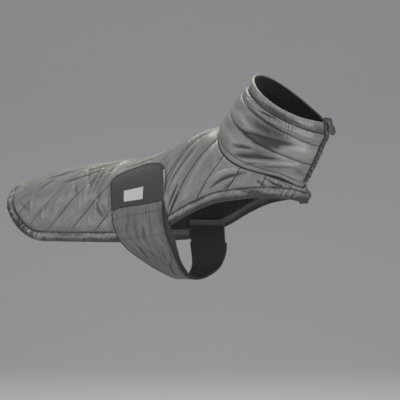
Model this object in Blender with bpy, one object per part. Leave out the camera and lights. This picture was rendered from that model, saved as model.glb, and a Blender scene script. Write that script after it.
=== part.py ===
"""Quilted winter coat for a large dog, in its worn shape and empty.

Metres, +X toward the dog's head, -Y its right (near) side, +Z up. The origin lies on the coat's
inner face at the spine, over the withers, where the wearer's back carries it.

Every piece is cut from one hollow figure: a tube along the torso that closes in an egg round the
chest. A point of the figure is given by its station along the coat and its angle down from the
spine. Pieces are grids of such points, moved out along the surface's normal, and closed to a wall.
"""
import functools
import math

import bmesh
import bpy
import numpy as np

COLLECTION = "dog_winter_coat"
MM = 0.001
NEAR, FAR = -1, 1
GAP = 0.4 * MM              # what sewn pieces keep between them

# colours and roughness of the cloths
SHELL = ((0.205, 0.210, 0.195), 0.45)
STRAP_CLOTH = ((0.135, 0.135, 0.132), 0.6)
FLEECE = ((0.012, 0.012, 0.013), 0.95)
PIPING = ((0.035, 0.035, 0.037), 0.7)
PATCH = ((0.065, 0.065, 0.068), 0.75)
TAPE = ((0.55, 0.56, 0.58), 0.5)
LABEL = ((0.56, 0.56, 0.54), 0.5)

# ---------------------------------------------------------------- driving sizes
QUILT = 75 * MM             # diagonal of a quilted diamond
STEP = QUILT / 4            # grid of the panel
SPINE_GIRTH = 3.5 * QUILT   # flank seam to spine in the flat panel; the lines cross on the spine
PANEL_WALL = 3.2 * MM       # wall of the quilted panel at a quilting line
PANEL_PUFF = 5.5 * MM       # what a diamond's middle adds
PANEL_GAP = 0.8 * MM        # what the panel keeps from its hem bands
EDGE_FADE = 15 * MM         # the puff dies away toward a seam over this length
PANEL_PRESSED = 0.62        # share of the puff that the strap presses out of the panel,
BAND_PRESSED = 0.45         # out of the band below it,
LAP_BAND_PRESSED = 0.6      # and that the band's ends lose at the chest,
FRONT_FLAT = 0.29           # from this station on

BAND_WIDTH = 24 * MM
BAND_WALL = 2.4 * MM
BAND_PUFF = 6.5 * MM
BAND_ACROSS = (0, 0.1, 0.5, 0.9, 1)
GATHER_STEP = 7 * MM        # half a gather of the rear band

REAR_STATION = -0.519       # rear seam at the spine
CORNER_LENGTH = 0.132       # how far forward the rounded rear corner reaches
CORNER_POWER = 2.2
REAR_BAND_END = -0.378      # where the gathered rear band meets the flank bands
FLANK_BAND_END = -0.010     # where the flank bands meet the shoulder bands, below the strap

# the chest's egg
EGG_STATION = 0.120         # the egg begins here
EGG_LENGTH = 0.166
EGG_SPAN = 0.228            # the quarter round of the egg, in station units
FRONT_STATION = EGG_STATION + EGG_SPAN
NEAR_END = FRONT_STATION + 10 * MM      # the near end laps over the far end
FAR_END = FRONT_STATION + 16 * MM
LAP_LIFT = 6.5 * MM
LAP_RISE = 60 * MM          # the near end lifts off over this length

# torso sections: heights of the spine and of the widest line, half width, depth of the lower curve
TORSO = (
    ("station", "spine", "half_width", "waist", "lower_depth"),
    (-0.640, -0.196, 0.070, -0.228, 0.30),
    (-0.600, -0.158, 0.086, -0.214, 0.30),
    (-0.550, -0.126, 0.098, -0.199, 0.30),
    (-0.470, -0.099, 0.110, -0.179, 0.30),
    (-0.419, -0.086, 0.114, -0.169, 0.30),
    (-0.316, -0.071, 0.119, -0.161, 0.30),
    (-0.240, -0.063, 0.121, -0.160, 0.30),
    (-0.118, -0.0455, 0.123, -0.164, 0.28),
    (-0.029, -0.0135, 0.123, -0.174, 0.25),
    (0.000, 0.000, 0.123, -0.1765, 0.24),
    (0.067, 0.016, 0.121, -0.182, 0.22),
    (0.120, 0.008, 0.118, -0.182, 0.20),
)

# height of the seam between the panel and its hem band
HEM = (
    ("station", "height"),
    (-0.640, -0.2290),
    (-0.300, -0.2290),
    (-0.160, -0.2280),
    (-0.070, -0.2160),
    (0.000, -0.1885),
    (0.060, -0.1590),
    (0.120, -0.1370),
    (0.180, -0.1270),
    (0.240, -0.1235),
    (0.300, -0.1285),
    (0.348, -0.1370),
    (0.400, -0.1370),
)

# the neck hole seen from above: an oval, wider toward the nape
NECK_CENTRE = 0.1765
NECK_LENGTH = 0.1025        # half of it, along the coat
NECK_WIDTH = 0.0910         # half of it, across
NECK_SKEW = 0.16

# collar rings above the neck seam
RINGS = (
    ("name", "nape_x", "nape_z", "front_x", "front_z", "half_width", "dip"),
    ("lower_stitch", 0.1090, 0.0610, 0.3080, -0.0690, 0.0900, 0.0110),
    ("upper_stitch", 0.1425, 0.0985, 0.3285, -0.0280, 0.0890, 0.0070),
    ("rim_seam", 0.1610, 0.1110, 0.3405, -0.0046, 0.0880, 0.0080),
    ("rim", 0.1716, 0.1385, 0.3380, 0.0220, 0.0860, 0.0130),
)
COLLAR_WALL = 3.0 * MM
COLLAR_PUFF = 5.0 * MM
RIM_PUFF = 3.5 * MM
COLLAR_COLUMNS = 64
LINING_WALL = 2.5 * MM
LINING_GAP = 1.1 * MM
TAB_WALL = 2.2 * MM
NEAR_CLOSING = math.radians(182)        # where the near end's cloth stops; its binding follows
FAR_CLOSING = math.radians(196)         # how far the far end reaches below the near end
COLLAR_LAP_LIFT = 6.0 * MM
COLLAR_LAP_TURN = (132, 162)            # the near end lifts off between these angles
LAP_SEAM_RISE = 5.0 * MM                # the near end's neck seam is this much higher
LAP_SEAM_TURN = (115, 150)
LAP_PADDING_ENDS = (150, 180)           # the padding dies away between these angles: near end,
FAR_PADDING_ENDS = (-150, -176)         # and far end
LINING_ENDS = (math.radians(158), math.radians(178))    # the near and the far end of the lining
BINDING_WIDTH = 9 * MM

# soft sweeping folds of the collar: where each starts and ends, its height and its half width in levels
COLLAR_FOLDS = (
    ("start_angle", "start_level", "end_angle", "end_level", "height", "half_width"),
    (40, 0.62, 95, 0.86, 3.0, 0.10),
    (38, 0.30, 118, 0.62, 3.4, 0.12),
    (60, 0.10, 140, 0.36, 2.4, 0.10),
    (50, 1.20, 130, 1.62, 3.0, 0.13),
    (300, 0.35, 235, 0.62, 3.0, 0.12),
    (310, 1.30, 235, 1.55, 2.6, 0.12),
)

# the curled corner tab: its section at the side next to the closing
TAB_CURL = (
    ("x", "z"),
    (0.3401, 0.0040),
    (0.3397, 0.0220),
    (0.3404, 0.0330),
    (0.3466, 0.0340),
    (0.3496, 0.0230),
    (0.3554, 0.0110),
    (0.3564, 0.0020),
    (0.3514, -0.0050),
)
TAB_SIDES = (0.014, 0.034)              # y of its two sides
TAB_TURN = 0.25                         # how much its section moves back and down toward the far side
TAB_DROOP = 0.10

# the belly strap below the hem: sections from the near flank under the belly to the far flank
STRAP_BELOW = (
    ("name", "y", "z", "rear_x", "front_x"),
    ("near_low", -0.1220, -0.2680, -0.1175, 0.0060),
    ("near_side", -0.1020, -0.2930, -0.0910, 0.0050),
    ("near_belly", -0.0720, -0.3170, -0.0670, -0.0020),
    ("belly_edge", -0.0360, -0.3330, -0.0560, -0.0100),
    ("belly", 0.0000, -0.3390, -0.0560, -0.0090),
    ("far_belly", 0.0400, -0.3320, -0.0610, -0.0040),
    ("far_side", 0.0800, -0.3100, -0.0760, 0.0020),
    ("far_low", 0.1040, -0.2760, -0.0960, 0.0010),
    ("far_hem", 0.1130, -0.2400, -0.1080, -0.0060),
    ("far_end", 0.1150, -0.2000, -0.1120, -0.0100),
)
# and above it, lying on the near flank: angle down from the spine at its middle, how much more at
# the rear edge, lift off the figure
STRAP_ON_PANEL = (
    ("angle", "slant", "lift", "rear_x", "front_x"),
    (46.0, 12.0, 8.6, -0.1720, -0.0400),
    (58.0, 12.0, 8.2, -0.1720, -0.0320),
    (72.0, 11.0, 8.0, -0.1640, -0.0185),
    (86.0, 12.0, 8.0, -0.1600, -0.0160),
    (95.0, 7.0, 9.2, -0.1570, -0.0150),
    (101.0, 2.0, 10.6, -0.1490, -0.0090),
    (106.5, 0.0, 11.4, -0.1380, -0.0005),
)
# how far the dark layer reaches beyond the strap's front edge, in strap widths, for each section of
# both tables
LAYER_REACH = (0, 0, 0.01, 0.02, 0.10, 0.165, 0.18, 0.155, 0.14,
               0.22, 0.25, 0.20, 0.12, 0.08, 0.05, 0.03, 0)

# the patch's top edge: share of the strap's width, place in rows of the strap's tables
PATCH_TOP = (
    ("across", "along"),
    (0.00, 0.95),
    (0.03, 0.62),
    (0.09, 0.36),
    (0.25, 0.14),
    (0.50, 0.10),
    (0.68, 0.22),
    (0.82, 0.48),
    (0.92, 0.78),
    (0.98, 1.06),
    (1.00, 1.30),
)
PATCH_SEAM = 3.2            # the patch's lower seam, in rows of the strap's tables
LABEL_ALONG = (2.02, 2.85)
LABEL_ACROSS = (0.25, 0.625)
TAPE_ALONG = (1.35, 2.75)
STRAP_WALL = 2.0 * MM
STRAP_LINING_WALL = 1.5 * MM
PATCH_WALL = 2.4 * MM
LABEL_WALL = 1.2 * MM
PIPING_WIDTH = 3.2 * MM
TAPE_WIDTH = 5.0 * MM
ROW_HEIGHT = 25 * MM        # of a row of the strap's tables in the patch, about
STRAP_GAP = 0.6 * MM        # between the strap's layers and along its edges
SEAM_SHARE = 0.03           # half the patch seam's opening, in rows of the strap's tables


# ---------------------------------------------------------------- curves through table rows
def column(table, name):
    """One named column of a table."""
    index = table[0].index(name)
    return np.array([row[index] for row in table[1:]], float)


def smooth(at, knots, values):
    """Cubic curve through the knots that does not overshoot them. values may have more columns."""
    knots, values = np.asarray(knots, float), np.asarray(values, float)
    steps = np.diff(knots).reshape((-1,) + (1,) * (values.ndim - 1))
    slopes = np.diff(values, axis=0) / steps
    tangents = np.zeros_like(values)
    tangents[0], tangents[-1] = slopes[0], slopes[-1]
    mean = (slopes[:-1] * steps[1:] + slopes[1:] * steps[:-1]) / (steps[:-1] + steps[1:])
    limit = 3 * np.minimum(abs(slopes[:-1]), abs(slopes[1:]))
    same_way = slopes[:-1] * slopes[1:] > 0
    tangents[1:-1] = np.where(same_way, np.sign(mean) * np.minimum(abs(mean), limit), 0)
    at = np.clip(at, knots[0], knots[-1])
    i = np.clip(np.searchsorted(knots, at) - 1, 0, len(knots) - 2)
    h = knots[i + 1] - knots[i]
    u = (at - knots[i]) / h
    extra = (1,) * (values.ndim - 1)
    h, u = h.reshape(h.shape + extra), u.reshape(u.shape + extra)
    return (values[i] * (1 + 2 * u) * (1 - u) ** 2 + tangents[i] * h * u * (1 - u) ** 2
            + values[i + 1] * u * u * (3 - 2 * u) + tangents[i + 1] * h * u * u * (u - 1))


def torso(name, station):
    return smooth(station, column(TORSO, "station"), column(TORSO, name))


def ramp(value, start, end):
    """0 at start, 1 at end, smooth between."""
    u = np.clip((value - start) / (end - start), 0, 1)
    return u * u * (3 - 2 * u)


def unit(vectors):
    return vectors / np.maximum(np.linalg.norm(vectors, axis=-1, keepdims=True), 1e-12)


# ---------------------------------------------------------------- the figure
def figure(station, angle, side):
    """Points of the figure's surface. angle is 0 at the spine and 90 degrees at the widest line."""
    station, angle = np.broadcast_arrays(np.asarray(station, float), np.asarray(angle, float))
    row = np.minimum(station, EGG_STATION)
    waist = torso("waist", row)
    above = torso("spine", row) - waist
    below = torso("lower_depth", row)
    turn = np.maximum(station - EGG_STATION, 0) / EGG_SPAN * math.pi / 2
    reach = np.sin(angle)
    x = row + EGG_LENGTH * np.sin(turn) * reach
    y = side * torso("half_width", row) * np.cos(turn) * reach
    z = waist + np.where(angle < math.pi / 2, above, below) * np.cos(angle)
    return np.stack([x, y, z], -1)


def figure_normal(station, angle, side):
    """Outward unit normals of the figure, by differences."""
    nudge = 1e-4
    angle = np.maximum(angle, 2 * nudge)
    along = figure(station + nudge, angle, side) - figure(station - nudge, angle, side)
    down = figure(station, angle + nudge, side) - figure(station, angle - nudge, side)
    return unit(np.cross(along, down) * side)


def neck_distance(points):
    """About how far points lie outside the neck hole, seen from above; negative inside it."""
    toward_nape = np.clip((NECK_CENTRE - points[..., 0]) / NECK_LENGTH, -1, 1)
    half = NECK_WIDTH * (1 + NECK_SKEW * toward_nape)
    reach = np.hypot((points[..., 0] - NECK_CENTRE) / NECK_LENGTH, points[..., 1] / half)
    return (reach - 1) * NECK_WIDTH


class Row:
    """One row of the flat panel, from below its hem seam up to the spine, with girth 0 at the seam."""

    def __init__(self, station):
        self.angles = np.linspace(math.radians(165), 0, 600)
        points = figure(station, self.angles, NEAR)
        steps = np.linalg.norm(np.diff(points, axis=0), axis=1)
        length = np.concatenate([[0], np.cumsum(steps)])
        seam = smooth(station, column(HEM, "station"), column(HEM, "height"))
        girth = length - np.interp(seam, points[:, 2], length)
        before_nape = station <= NECK_CENTRE - NECK_LENGTH
        self.stretch = SPINE_GIRTH / girth[-1] if before_nape else nape_stretch()
        self.girths = girth * self.stretch
        self.top = self.girths[-1]
        distance = neck_distance(points)
        crosses = (distance < 0) & (points[:, 2] > seam)
        self.reaches_spine = not crosses.any()
        if crosses.any():
            last = np.argmax(crosses)
            self.top = np.interp(0, -distance[last - 1:last + 1], self.girths[last - 1:last + 1])


@functools.lru_cache(maxsize=None)
def row_at(station):
    return Row(station)


@functools.lru_cache(maxsize=None)
def nape_stretch():
    return row_at(NECK_CENTRE - NECK_LENGTH).stretch


def on_figure(station, girth, side):
    """Points and normals of the figure at flat places of the panel."""
    station, girth = np.broadcast_arrays(np.asarray(station, float), np.asarray(girth, float))
    rows = [row_at(round(float(s), 6)) for s in station.ravel()]
    angle = [np.interp(g, row.girths, row.angles) for g, row in zip(girth.ravel(), rows)]
    angle = np.array(angle).reshape(station.shape)
    return figure(station, angle, side), figure_normal(station, angle, side)


# ---------------------------------------------------------------- walls
def make_object(name, cloth, points, faces):
    """A mesh object with its own material, from points and faces."""
    mesh = bpy.data.meshes.new(name)
    mesh.from_pydata([tuple(p) for p in points], [], faces)
    bm = bmesh.new()
    bm.from_mesh(mesh)
    bmesh.ops.recalc_face_normals(bm, faces=bm.faces)
    bm.to_mesh(mesh)
    bm.free()
    colour, roughness = cloth
    material = bpy.data.materials.new(name)
    material.use_nodes = True
    shader = material.node_tree.nodes["Principled BSDF"]
    shader.inputs["Base Color"].default_value = (*colour, 1)
    shader.inputs["Roughness"].default_value = roughness
    mesh.materials.append(material)
    bpy.data.collections[COLLECTION].objects.link(bpy.data.objects.new(name, mesh))


def close_wall(inner, outer, faces):
    """Points and faces of the closed wall between an inner and an outer copy of one open surface."""
    count = len(inner)
    directed = {(a, b) for face in faces for a, b in zip(face, face[1:] + face[:1])}
    rim = [(b, a, a + count, b + count) for a, b in directed if (b, a) not in directed]
    back = [tuple(reversed(face)) for face in faces]
    front = [tuple(v + count for v in face) for face in faces]
    return np.concatenate([inner, outer]), back + front + sorted(rim)


def grid_faces(rows, columns):
    """Quads of a grid of points."""
    return [(i * columns + j, (i + 1) * columns + j, (i + 1) * columns + j + 1, i * columns + j + 1)
            for i in range(rows - 1) for j in range(columns - 1)]


def grid_normals(points):
    """Unit normals of a grid of points, by differences: along its rows, then across."""
    return unit(np.cross(np.gradient(points, axis=0), np.gradient(points, axis=1)))


def wall_from_grid(name, cloth, points, normals, inner, outer):
    """Closed wall over a grid: inner and outer are distances along the normals."""
    rows, columns = points.shape[:2]
    inside = points + normals * np.broadcast_to(inner, (rows, columns))[..., None]
    outside = points + normals * np.broadcast_to(outer, (rows, columns))[..., None]
    faces = grid_faces(rows, columns)
    make_object(name, cloth, *close_wall(inside.reshape(-1, 3), outside.reshape(-1, 3), faces))


# ---------------------------------------------------------------- the quilted back panel
def hem_girth(station):
    """Flat girth of the panel's lower edge: 0 at the flank, rising round the rear corner."""
    share = np.clip((REAR_STATION + CORNER_LENGTH - station) / CORNER_LENGTH, 0, 1)
    return SPINE_GIRTH * (1 - (1 - share ** CORNER_POWER) ** (1 / CORNER_POWER))


def quilting(station, girth):
    """Rise of the quilted diamonds, 0 on the lines and 1 in the middles."""
    along = np.sin(math.pi * (station - girth) / QUILT)
    across = np.sin(math.pi * (station + girth) / QUILT)
    return np.sqrt(abs(along * across))


def under_strap(station, side):
    """1 where the strap presses the near flank flat, 0 away from it."""
    if side == FAR:
        return 0 * station
    return ramp(station, -0.196, -0.176) * ramp(station, 0.040, 0.014)


def lap_lift(station, side):
    """The near end rises over the far end at the chest."""
    if side == FAR:
        return 0 * station
    return LAP_LIFT * ramp(station, FRONT_STATION - 16 * MM - LAP_RISE, FRONT_STATION - 18 * MM)


def panel_rise(station, girth, side, points):
    """Thickness of the quilted panel."""
    low = hem_girth(station)
    edge = np.minimum(girth - low, np.maximum(station - REAR_STATION, 0))
    edge = np.clip(np.minimum(edge, neck_distance(points)) / EDGE_FADE, 0, 1)
    puff = PANEL_PUFF * quilting(station, girth) * edge
    pressed = 1 - PANEL_PRESSED * under_strap(station, side)
    return PANEL_WALL + puff * pressed * ramp(station, FRONT_STATION - 20 * MM, FRONT_FLAT)


def panel_stations(start, end):
    """Both ends and the panel's rows between them."""
    rows = np.arange(math.ceil(start / STEP), math.floor(end / STEP) + 1) * STEP
    return np.array([start, *rows[(rows > start + 0.3 * STEP) & (rows < end - 0.3 * STEP)], end])


def panel_row(station):
    """Flat girths of one row's points, edges first and last."""
    low = float(hem_girth(station - PANEL_GAP)) + PANEL_GAP
    row = row_at(round(station, 6))
    high = row.top if row.reaches_spine else row.top - GAP
    inside = np.arange(math.ceil(low / STEP), math.floor(high / STEP) + 1) * STEP
    inside = inside[(inside > low + 0.3 * STEP) & (inside < high - 0.3 * STEP)]
    return np.array([low, *inside, high])


def zip_rows(first, second, start_first, start_second):
    """Faces between two rows of points whose girths differ."""
    faces = []
    a = b = 0
    while a < len(first) - 1 or b < len(second) - 1:
        step_a = a < len(first) - 1
        step_b = b < len(second) - 1
        if step_a and step_b and abs(first[a + 1] - second[b + 1]) < 0.3 * STEP:
            faces.append((start_first + a, start_second + b, start_second + b + 1, start_first + a + 1))
            a, b = a + 1, b + 1
        elif step_a and (not step_b or first[a + 1] < second[b + 1]):
            faces.append((start_first + a, start_second + b, start_first + a + 1))
            a += 1
        else:
            faces.append((start_first + a, start_second + b, start_second + b + 1))
            b += 1
    return faces


def back_panel():
    inner, outer, faces, spine = [], [], [], {}
    for side, end in ((NEAR, NEAR_END), (FAR, FAR_END)):
        before = None
        for station in panel_stations(REAR_STATION + 2 * PANEL_GAP, end):
            girths = panel_row(station)
            points, normals = on_figure(station, girths, side)
            lift = lap_lift(station, side)
            rise = panel_rise(station, girths, side, points)
            start = len(inner)
            inner += list(points + normals * lift)
            outer += list(points + normals * (rise + lift)[:, None])
            if before:
                strip = zip_rows(before[1], girths, before[0], start)
                faces += strip if side == NEAR else [face[::-1] for face in strip]
            before = (start, girths)
            if row_at(round(station, 6)).reaches_spine:
                spine.setdefault(round(station, 6), []).append(len(inner) - 1)
    doubles = {pair[1]: pair[0] for pair in spine.values() if len(pair) == 2}
    kept = [i for i in range(len(inner)) if i not in doubles]
    place = {old: new for new, old in enumerate(kept)}
    place.update({double: place[first] for double, first in doubles.items()})
    faces = [tuple(place[v] for v in face) for face in faces]
    make_object("back_panel", SHELL, *close_wall(np.array(inner)[kept], np.array(outer)[kept], faces))


# ---------------------------------------------------------------- hem bands
def even_path(points, step):
    """The path through the points, cut to even steps."""
    length = np.concatenate([[0], np.cumsum(np.linalg.norm(np.diff(points, axis=0), axis=1))])
    at = np.linspace(0, length[-1], max(2, round(length[-1] / step) + 1))
    return np.stack([np.interp(at, length, points[:, k]) for k in range(points.shape[1])], -1)


def rear_path(step):
    """Stations and girths round the rear corner, from the rear band's end to the spine."""
    turn = np.linspace(0, math.pi / 2, 240)
    station = REAR_STATION + CORNER_LENGTH * (1 - np.sin(turn) ** (2 / CORNER_POWER))
    girth = SPINE_GIRTH * (1 - np.cos(turn) ** (2 / CORNER_POWER))
    start = np.stack([np.linspace(REAR_BAND_END, station[0], 12)[:-1], np.zeros(11)], -1)
    return even_path(np.concatenate([start, np.stack([station, girth], -1)]), step)


def band_grid(path, side):
    """Points and normals of a band's strip below a flat path. Its rows follow the path."""
    stretch = np.array([row_at(round(float(s), 6)).stretch for s in path[:, 0]])[:, None]
    along = unit(np.gradient(path / np.concatenate([stretch * 0 + 1, stretch], 1), axis=0))
    out = np.stack([-abs(along[:, 1]), -abs(along[:, 0])], -1)
    out[path[:, 1] > SPINE_GIRTH - 1e-6] = (-1, 0)
    across = np.array(BAND_ACROSS) * BAND_WIDTH
    station = path[:, :1] + out[:, :1] * across
    girth = np.minimum(path[:, 1:] + out[:, 1:] * across * stretch, SPINE_GIRTH)
    return on_figure(station, girth, side)


def band_wall(name, points, normals, puff):
    """A padded band over a strip; puff scales its padding along the band."""
    bulge = np.sin(math.pi * np.array(BAND_ACROSS)) ** 0.6 * np.asarray(puff)[:, None]
    wall_from_grid(name, SHELL, points, normals, 0.4 * MM - 1.2 * MM * bulge,
                   0.4 * MM + BAND_WALL + BAND_PUFF * bulge)


def rear_hem_band():
    path = rear_path(GATHER_STEP)
    near, near_normals = band_grid(path, NEAR)
    far, far_normals = band_grid(path, FAR)
    count = 2 * len(path) - 1
    gather = np.arange(count)
    ends = ramp(np.minimum(gather, gather[::-1]), 0, 8)
    puff = 1 - ends * (0.17 + 0.17 * np.cos(math.pi * gather) * (1 + 0.5 * np.sin(0.9 * gather)))
    band_wall("rear_hem_band", np.concatenate([near, far[-2::-1]]),
              np.concatenate([near_normals, far_normals[-2::-1]]), puff)


def straight_band(name, side, start, end):
    station = panel_stations(start, end)
    points, normals = band_grid(np.stack([station, 0 * station], -1), side)
    points = points + normals * lap_lift(station, side)[:, None, None]
    pressed = 1 - BAND_PRESSED * under_strap(station, side)
    puff = pressed * (1 - LAP_BAND_PRESSED * ramp(station, FRONT_FLAT, FRONT_STATION - 20 * MM))
    band_wall(name, points, normals, puff)


def hem_bands():
    rear_hem_band()
    for side, word, end in ((NEAR, "near", NEAR_END), (FAR, "far", FAR_END)):
        straight_band(f"{word}_flank_band", side, REAR_BAND_END + GAP, FLANK_BAND_END - GAP)
        straight_band(f"{word}_shoulder_band", side, FLANK_BAND_END, end)


# ---------------------------------------------------------------- the collar
def neck_seam(angle):
    """The neck hole's edge on the figure. angle is 0 at the nape, 90 degrees at the near side."""
    x = NECK_CENTRE - NECK_LENGTH * np.cos(angle)
    y = -NECK_WIDTH * np.sin(angle) * (1 + NECK_SKEW * np.cos(angle))
    row = np.minimum(x, EGG_STATION)
    reach = np.hypot(np.maximum(x - EGG_STATION, 0) / EGG_LENGTH, y / torso("half_width", row))
    waist = torso("waist", row)
    z = waist + (torso("spine", row) - waist) * np.sqrt(np.maximum(1 - reach ** 2, 0))
    return np.stack([x, y, z], -1)


def collar_rings(angle):
    """The neck seam and the rings above it."""
    seam = neck_seam(angle)
    turn = np.degrees(angle)
    seam[..., 2] += PANEL_WALL + 2 * GAP + LAP_SEAM_RISE * ramp(turn, *LAP_SEAM_TURN)
    rings = [seam]
    share = (1 - np.cos(angle)) / 2
    for _, nape_x, nape_z, front_x, front_z, half_width, dip in RINGS[1:]:
        x = nape_x + (front_x - nape_x) * share
        y = -half_width * np.sin(angle) * (1 + NECK_SKEW * np.cos(angle))
        z = nape_z + (front_z - nape_z) * share - dip * np.sin(angle) ** 2
        rings.append(np.stack([x, y, z], -1))
    return np.array(rings)


def collar_grid(angles, levels):
    """Points and normals of the collar's stitch surface: level 0 is the neck seam, each ring is one
    more. The near end is lifted over the far end."""
    angle, level = np.meshgrid(angles, levels, indexing="ij")
    rings = collar_rings(np.asarray(angles, float))
    points = np.swapaxes(smooth(levels, np.arange(len(rings)), rings), 0, 1)
    normals = grid_normals(points)
    lift = COLLAR_LAP_LIFT * ramp(np.degrees(angle), *COLLAR_LAP_TURN)
    return points + normals * lift[..., None], normals, angle, level


def collar_folds(angle, level):
    """Height of the sweeping folds."""
    height = 0 * angle
    for start_angle, start_level, end_angle, end_level, fold_height, half_width in COLLAR_FOLDS[1:]:
        turn = np.degrees(angle)
        start, end = (a - 360 if a > 180 else a for a in (start_angle, end_angle))
        along = np.clip((turn - start) / (end - start), 0, 1)
        middle = start_level + (end_level - start_level) * along
        profile = np.exp(-((level - middle) / half_width) ** 2) * np.sin(math.pi * along) ** 0.7
        height = height + fold_height * MM * profile
    return height


def collar_angles(columns, near=NEAR_CLOSING, far=FAR_CLOSING):
    return np.linspace(-far, near, columns)


def ends_flat(angle):
    """1 over most of the collar, 0 at the lap, where it has no padding."""
    turn = np.degrees(angle)
    return ramp(turn, *LAP_PADDING_ENDS[::-1]) * ramp(turn, *FAR_PADDING_ENDS[::-1])


def collar():
    levels = np.array([0, 0.18, 0.5, 0.82, 1, 1.2, 1.5, 1.8, 2, 2.25, 2.6, 2.95])
    points, normals, angle, level = collar_grid(collar_angles(COLLAR_COLUMNS), levels)
    bulge = abs(np.sin(math.pi * level)) ** 0.6 * np.where(level > 2, 0.55, 1)
    puff = (COLLAR_PUFF * bulge + collar_folds(angle, level)) * ends_flat(angle)
    wall_from_grid("collar_shell", SHELL, points, normals, -COLLAR_WALL, puff)

    levels = np.array([3.06, 3.25, 3.7, 4.0])
    points, normals, angle, level = collar_grid(collar_angles(COLLAR_COLUMNS), levels)
    bulge = abs(np.sin(math.pi * (level - levels[0]) / np.ptp(levels))) ** 0.6 * ends_flat(angle)
    wall_from_grid("collar_rim_band", SHELL, points, normals, -COLLAR_WALL, RIM_PUFF * bulge + 0.2 * MM)

    levels = np.array([0.35, 1, 1.5, 2, 2.6, 3, 3.4, 3.9])
    angles = collar_angles(COLLAR_COLUMNS * 2 // 3, *LINING_ENDS)
    points, normals, angle, level = collar_grid(angles, levels)
    outer = -COLLAR_WALL - LINING_GAP
    wall_from_grid("collar_lining", FLEECE, points, normals, outer - LINING_WALL, outer)

    width = BINDING_WIDTH / NECK_WIDTH
    angles = NEAR_CLOSING + 2 * GAP / NECK_WIDTH + width * np.array([0, 0.3, 0.8, 1])
    points, normals, angle, level = collar_grid(angles, np.linspace(0.35, 3.95, 14))
    bulge = np.array([0.6, 1, 1, 0.4])[:, None]
    wall_from_grid("collar_edge_binding", STRAP_CLOTH, points, normals, -COLLAR_WALL, 1.8 * MM * bulge)


def collar_corner_tab():
    """The far end's top corner, curled outward in front of the rim."""
    curl = np.stack([column(TAB_CURL, "x"), column(TAB_CURL, "z")], -1)
    at = np.linspace(0, len(curl) - 1, 13)
    profile = smooth(at, np.arange(len(curl)), curl)
    y = np.linspace(*TAB_SIDES, 4)
    points = np.zeros((len(profile), len(y), 3))
    points[..., 0] = profile[:, :1] - TAB_TURN * (y - y[0])
    points[..., 1] = y
    points[..., 2] = profile[:, 1:] - TAB_DROOP * (y - y[0])
    wall_from_grid("collar_corner_tab", SHELL, points, grid_normals(points), -TAB_WALL, 0)


# ---------------------------------------------------------------- the belly strap
ON_PANEL_ROWS = len(STRAP_ON_PANEL) - 1
STRAP_END = len(LAYER_REACH) - 1


def strap_knots(across):
    """The strap's table sections as points: rows x samples across, which run from 0 at the rear edge
    to 1. across is one row for all sections, or a row for each."""
    across = np.broadcast_to(across, (STRAP_END + 1, np.shape(across)[-1]))
    names = STRAP_ON_PANEL[0]
    angle, slant, lift, rear, front = (column(STRAP_ON_PANEL, name)[:, None] for name in names)
    share = across[:ON_PANEL_ROWS]
    x = rear + (front - rear) * share
    turn = np.radians(angle - slant * (share - 0.5))
    above = figure(x, turn, NEAR) + figure_normal(x, turn, NEAR) * (lift * MM)[..., None]
    y, z, rear, front = (column(STRAP_BELOW, name)[:, None] for name in STRAP_BELOW[0][1:])
    below = np.stack(np.broadcast_arrays(rear + (front - rear) * across[ON_PANEL_ROWS:], y, z), -1)
    return np.concatenate([above, below])


def strap_grid(along, across):
    """Points and outward normals of the strap; along counts its table sections."""
    knots = strap_knots(np.asarray(across, float))
    points = smooth(np.asarray(along, float), np.arange(len(knots)), knots)
    return points, grid_normals(points)


def strap_at(along, across):
    """Points and normals of the strap for pairs of places along and across it."""
    nudge = np.array([-1, 0, 1]) * 1e-3
    along, across = np.broadcast_arrays(along, across)
    pairs = zip(along.ravel(), across.ravel())
    grids = [strap_grid(place + 10 * nudge, share + nudge) for place, share in pairs]
    points = np.array([points[1, 1] for points, normals in grids])
    normals = np.array([normals[1, 1] for points, normals in grids])
    return points.reshape(along.shape + (3,)), normals.reshape(along.shape + (3,))


def strap_spans(front):
    """The strap's width at each table section, taken square to its front or rear edge."""
    edges = strap_knots(np.array([0.0, 1.0]))
    across = edges[:, 1] - edges[:, 0]
    heading = unit(np.gradient(edges[:, 1 if front else 0], axis=0))
    return np.linalg.norm(across - heading * (across * heading).sum(-1, keepdims=True), axis=-1)


def strap_edge(name, cloth, along, front, width, outer):
    """A strip just outside one edge of the strap."""
    reach = np.linspace(STRAP_GAP, STRAP_GAP + width, 3) / strap_spans(front)[:, None]
    points, normals = strap_grid(along, 1 + reach if front else -reach[:, ::-1])
    wall_from_grid(name, cloth, points, normals, 0, outer)


def belly_strap():
    step = (STRAP_END - PATCH_SEAM) / 36
    along = np.linspace(PATCH_SEAM, STRAP_END, 37)
    along[0] += SEAM_SHARE
    points, normals = strap_grid(along, np.linspace(0, 1, 6))
    wall_from_grid("belly_strap", STRAP_CLOTH, points, normals, 0, STRAP_WALL)

    front = 0.97 + np.array(LAYER_REACH)[:, None]
    across = 0.03 + (front - 0.03) * np.linspace(0, 1, 5)
    tucked = PATCH_SEAM - step * np.arange(3, 0, -1)
    points, normals = strap_grid(np.append(tucked, along[1:-1]), across)
    inner = -STRAP_GAP - STRAP_LINING_WALL
    wall_from_grid("belly_strap_lining", PIPING, points, normals, inner, -STRAP_GAP)

    strap_edge("strap_rear_piping", PIPING, along[:-4], False, PIPING_WIDTH, STRAP_WALL + 0.4 * MM)
    strap_edge("strap_front_piping", PIPING, along[:-4], True, PIPING_WIDTH, STRAP_WALL + 0.4 * MM)


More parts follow.
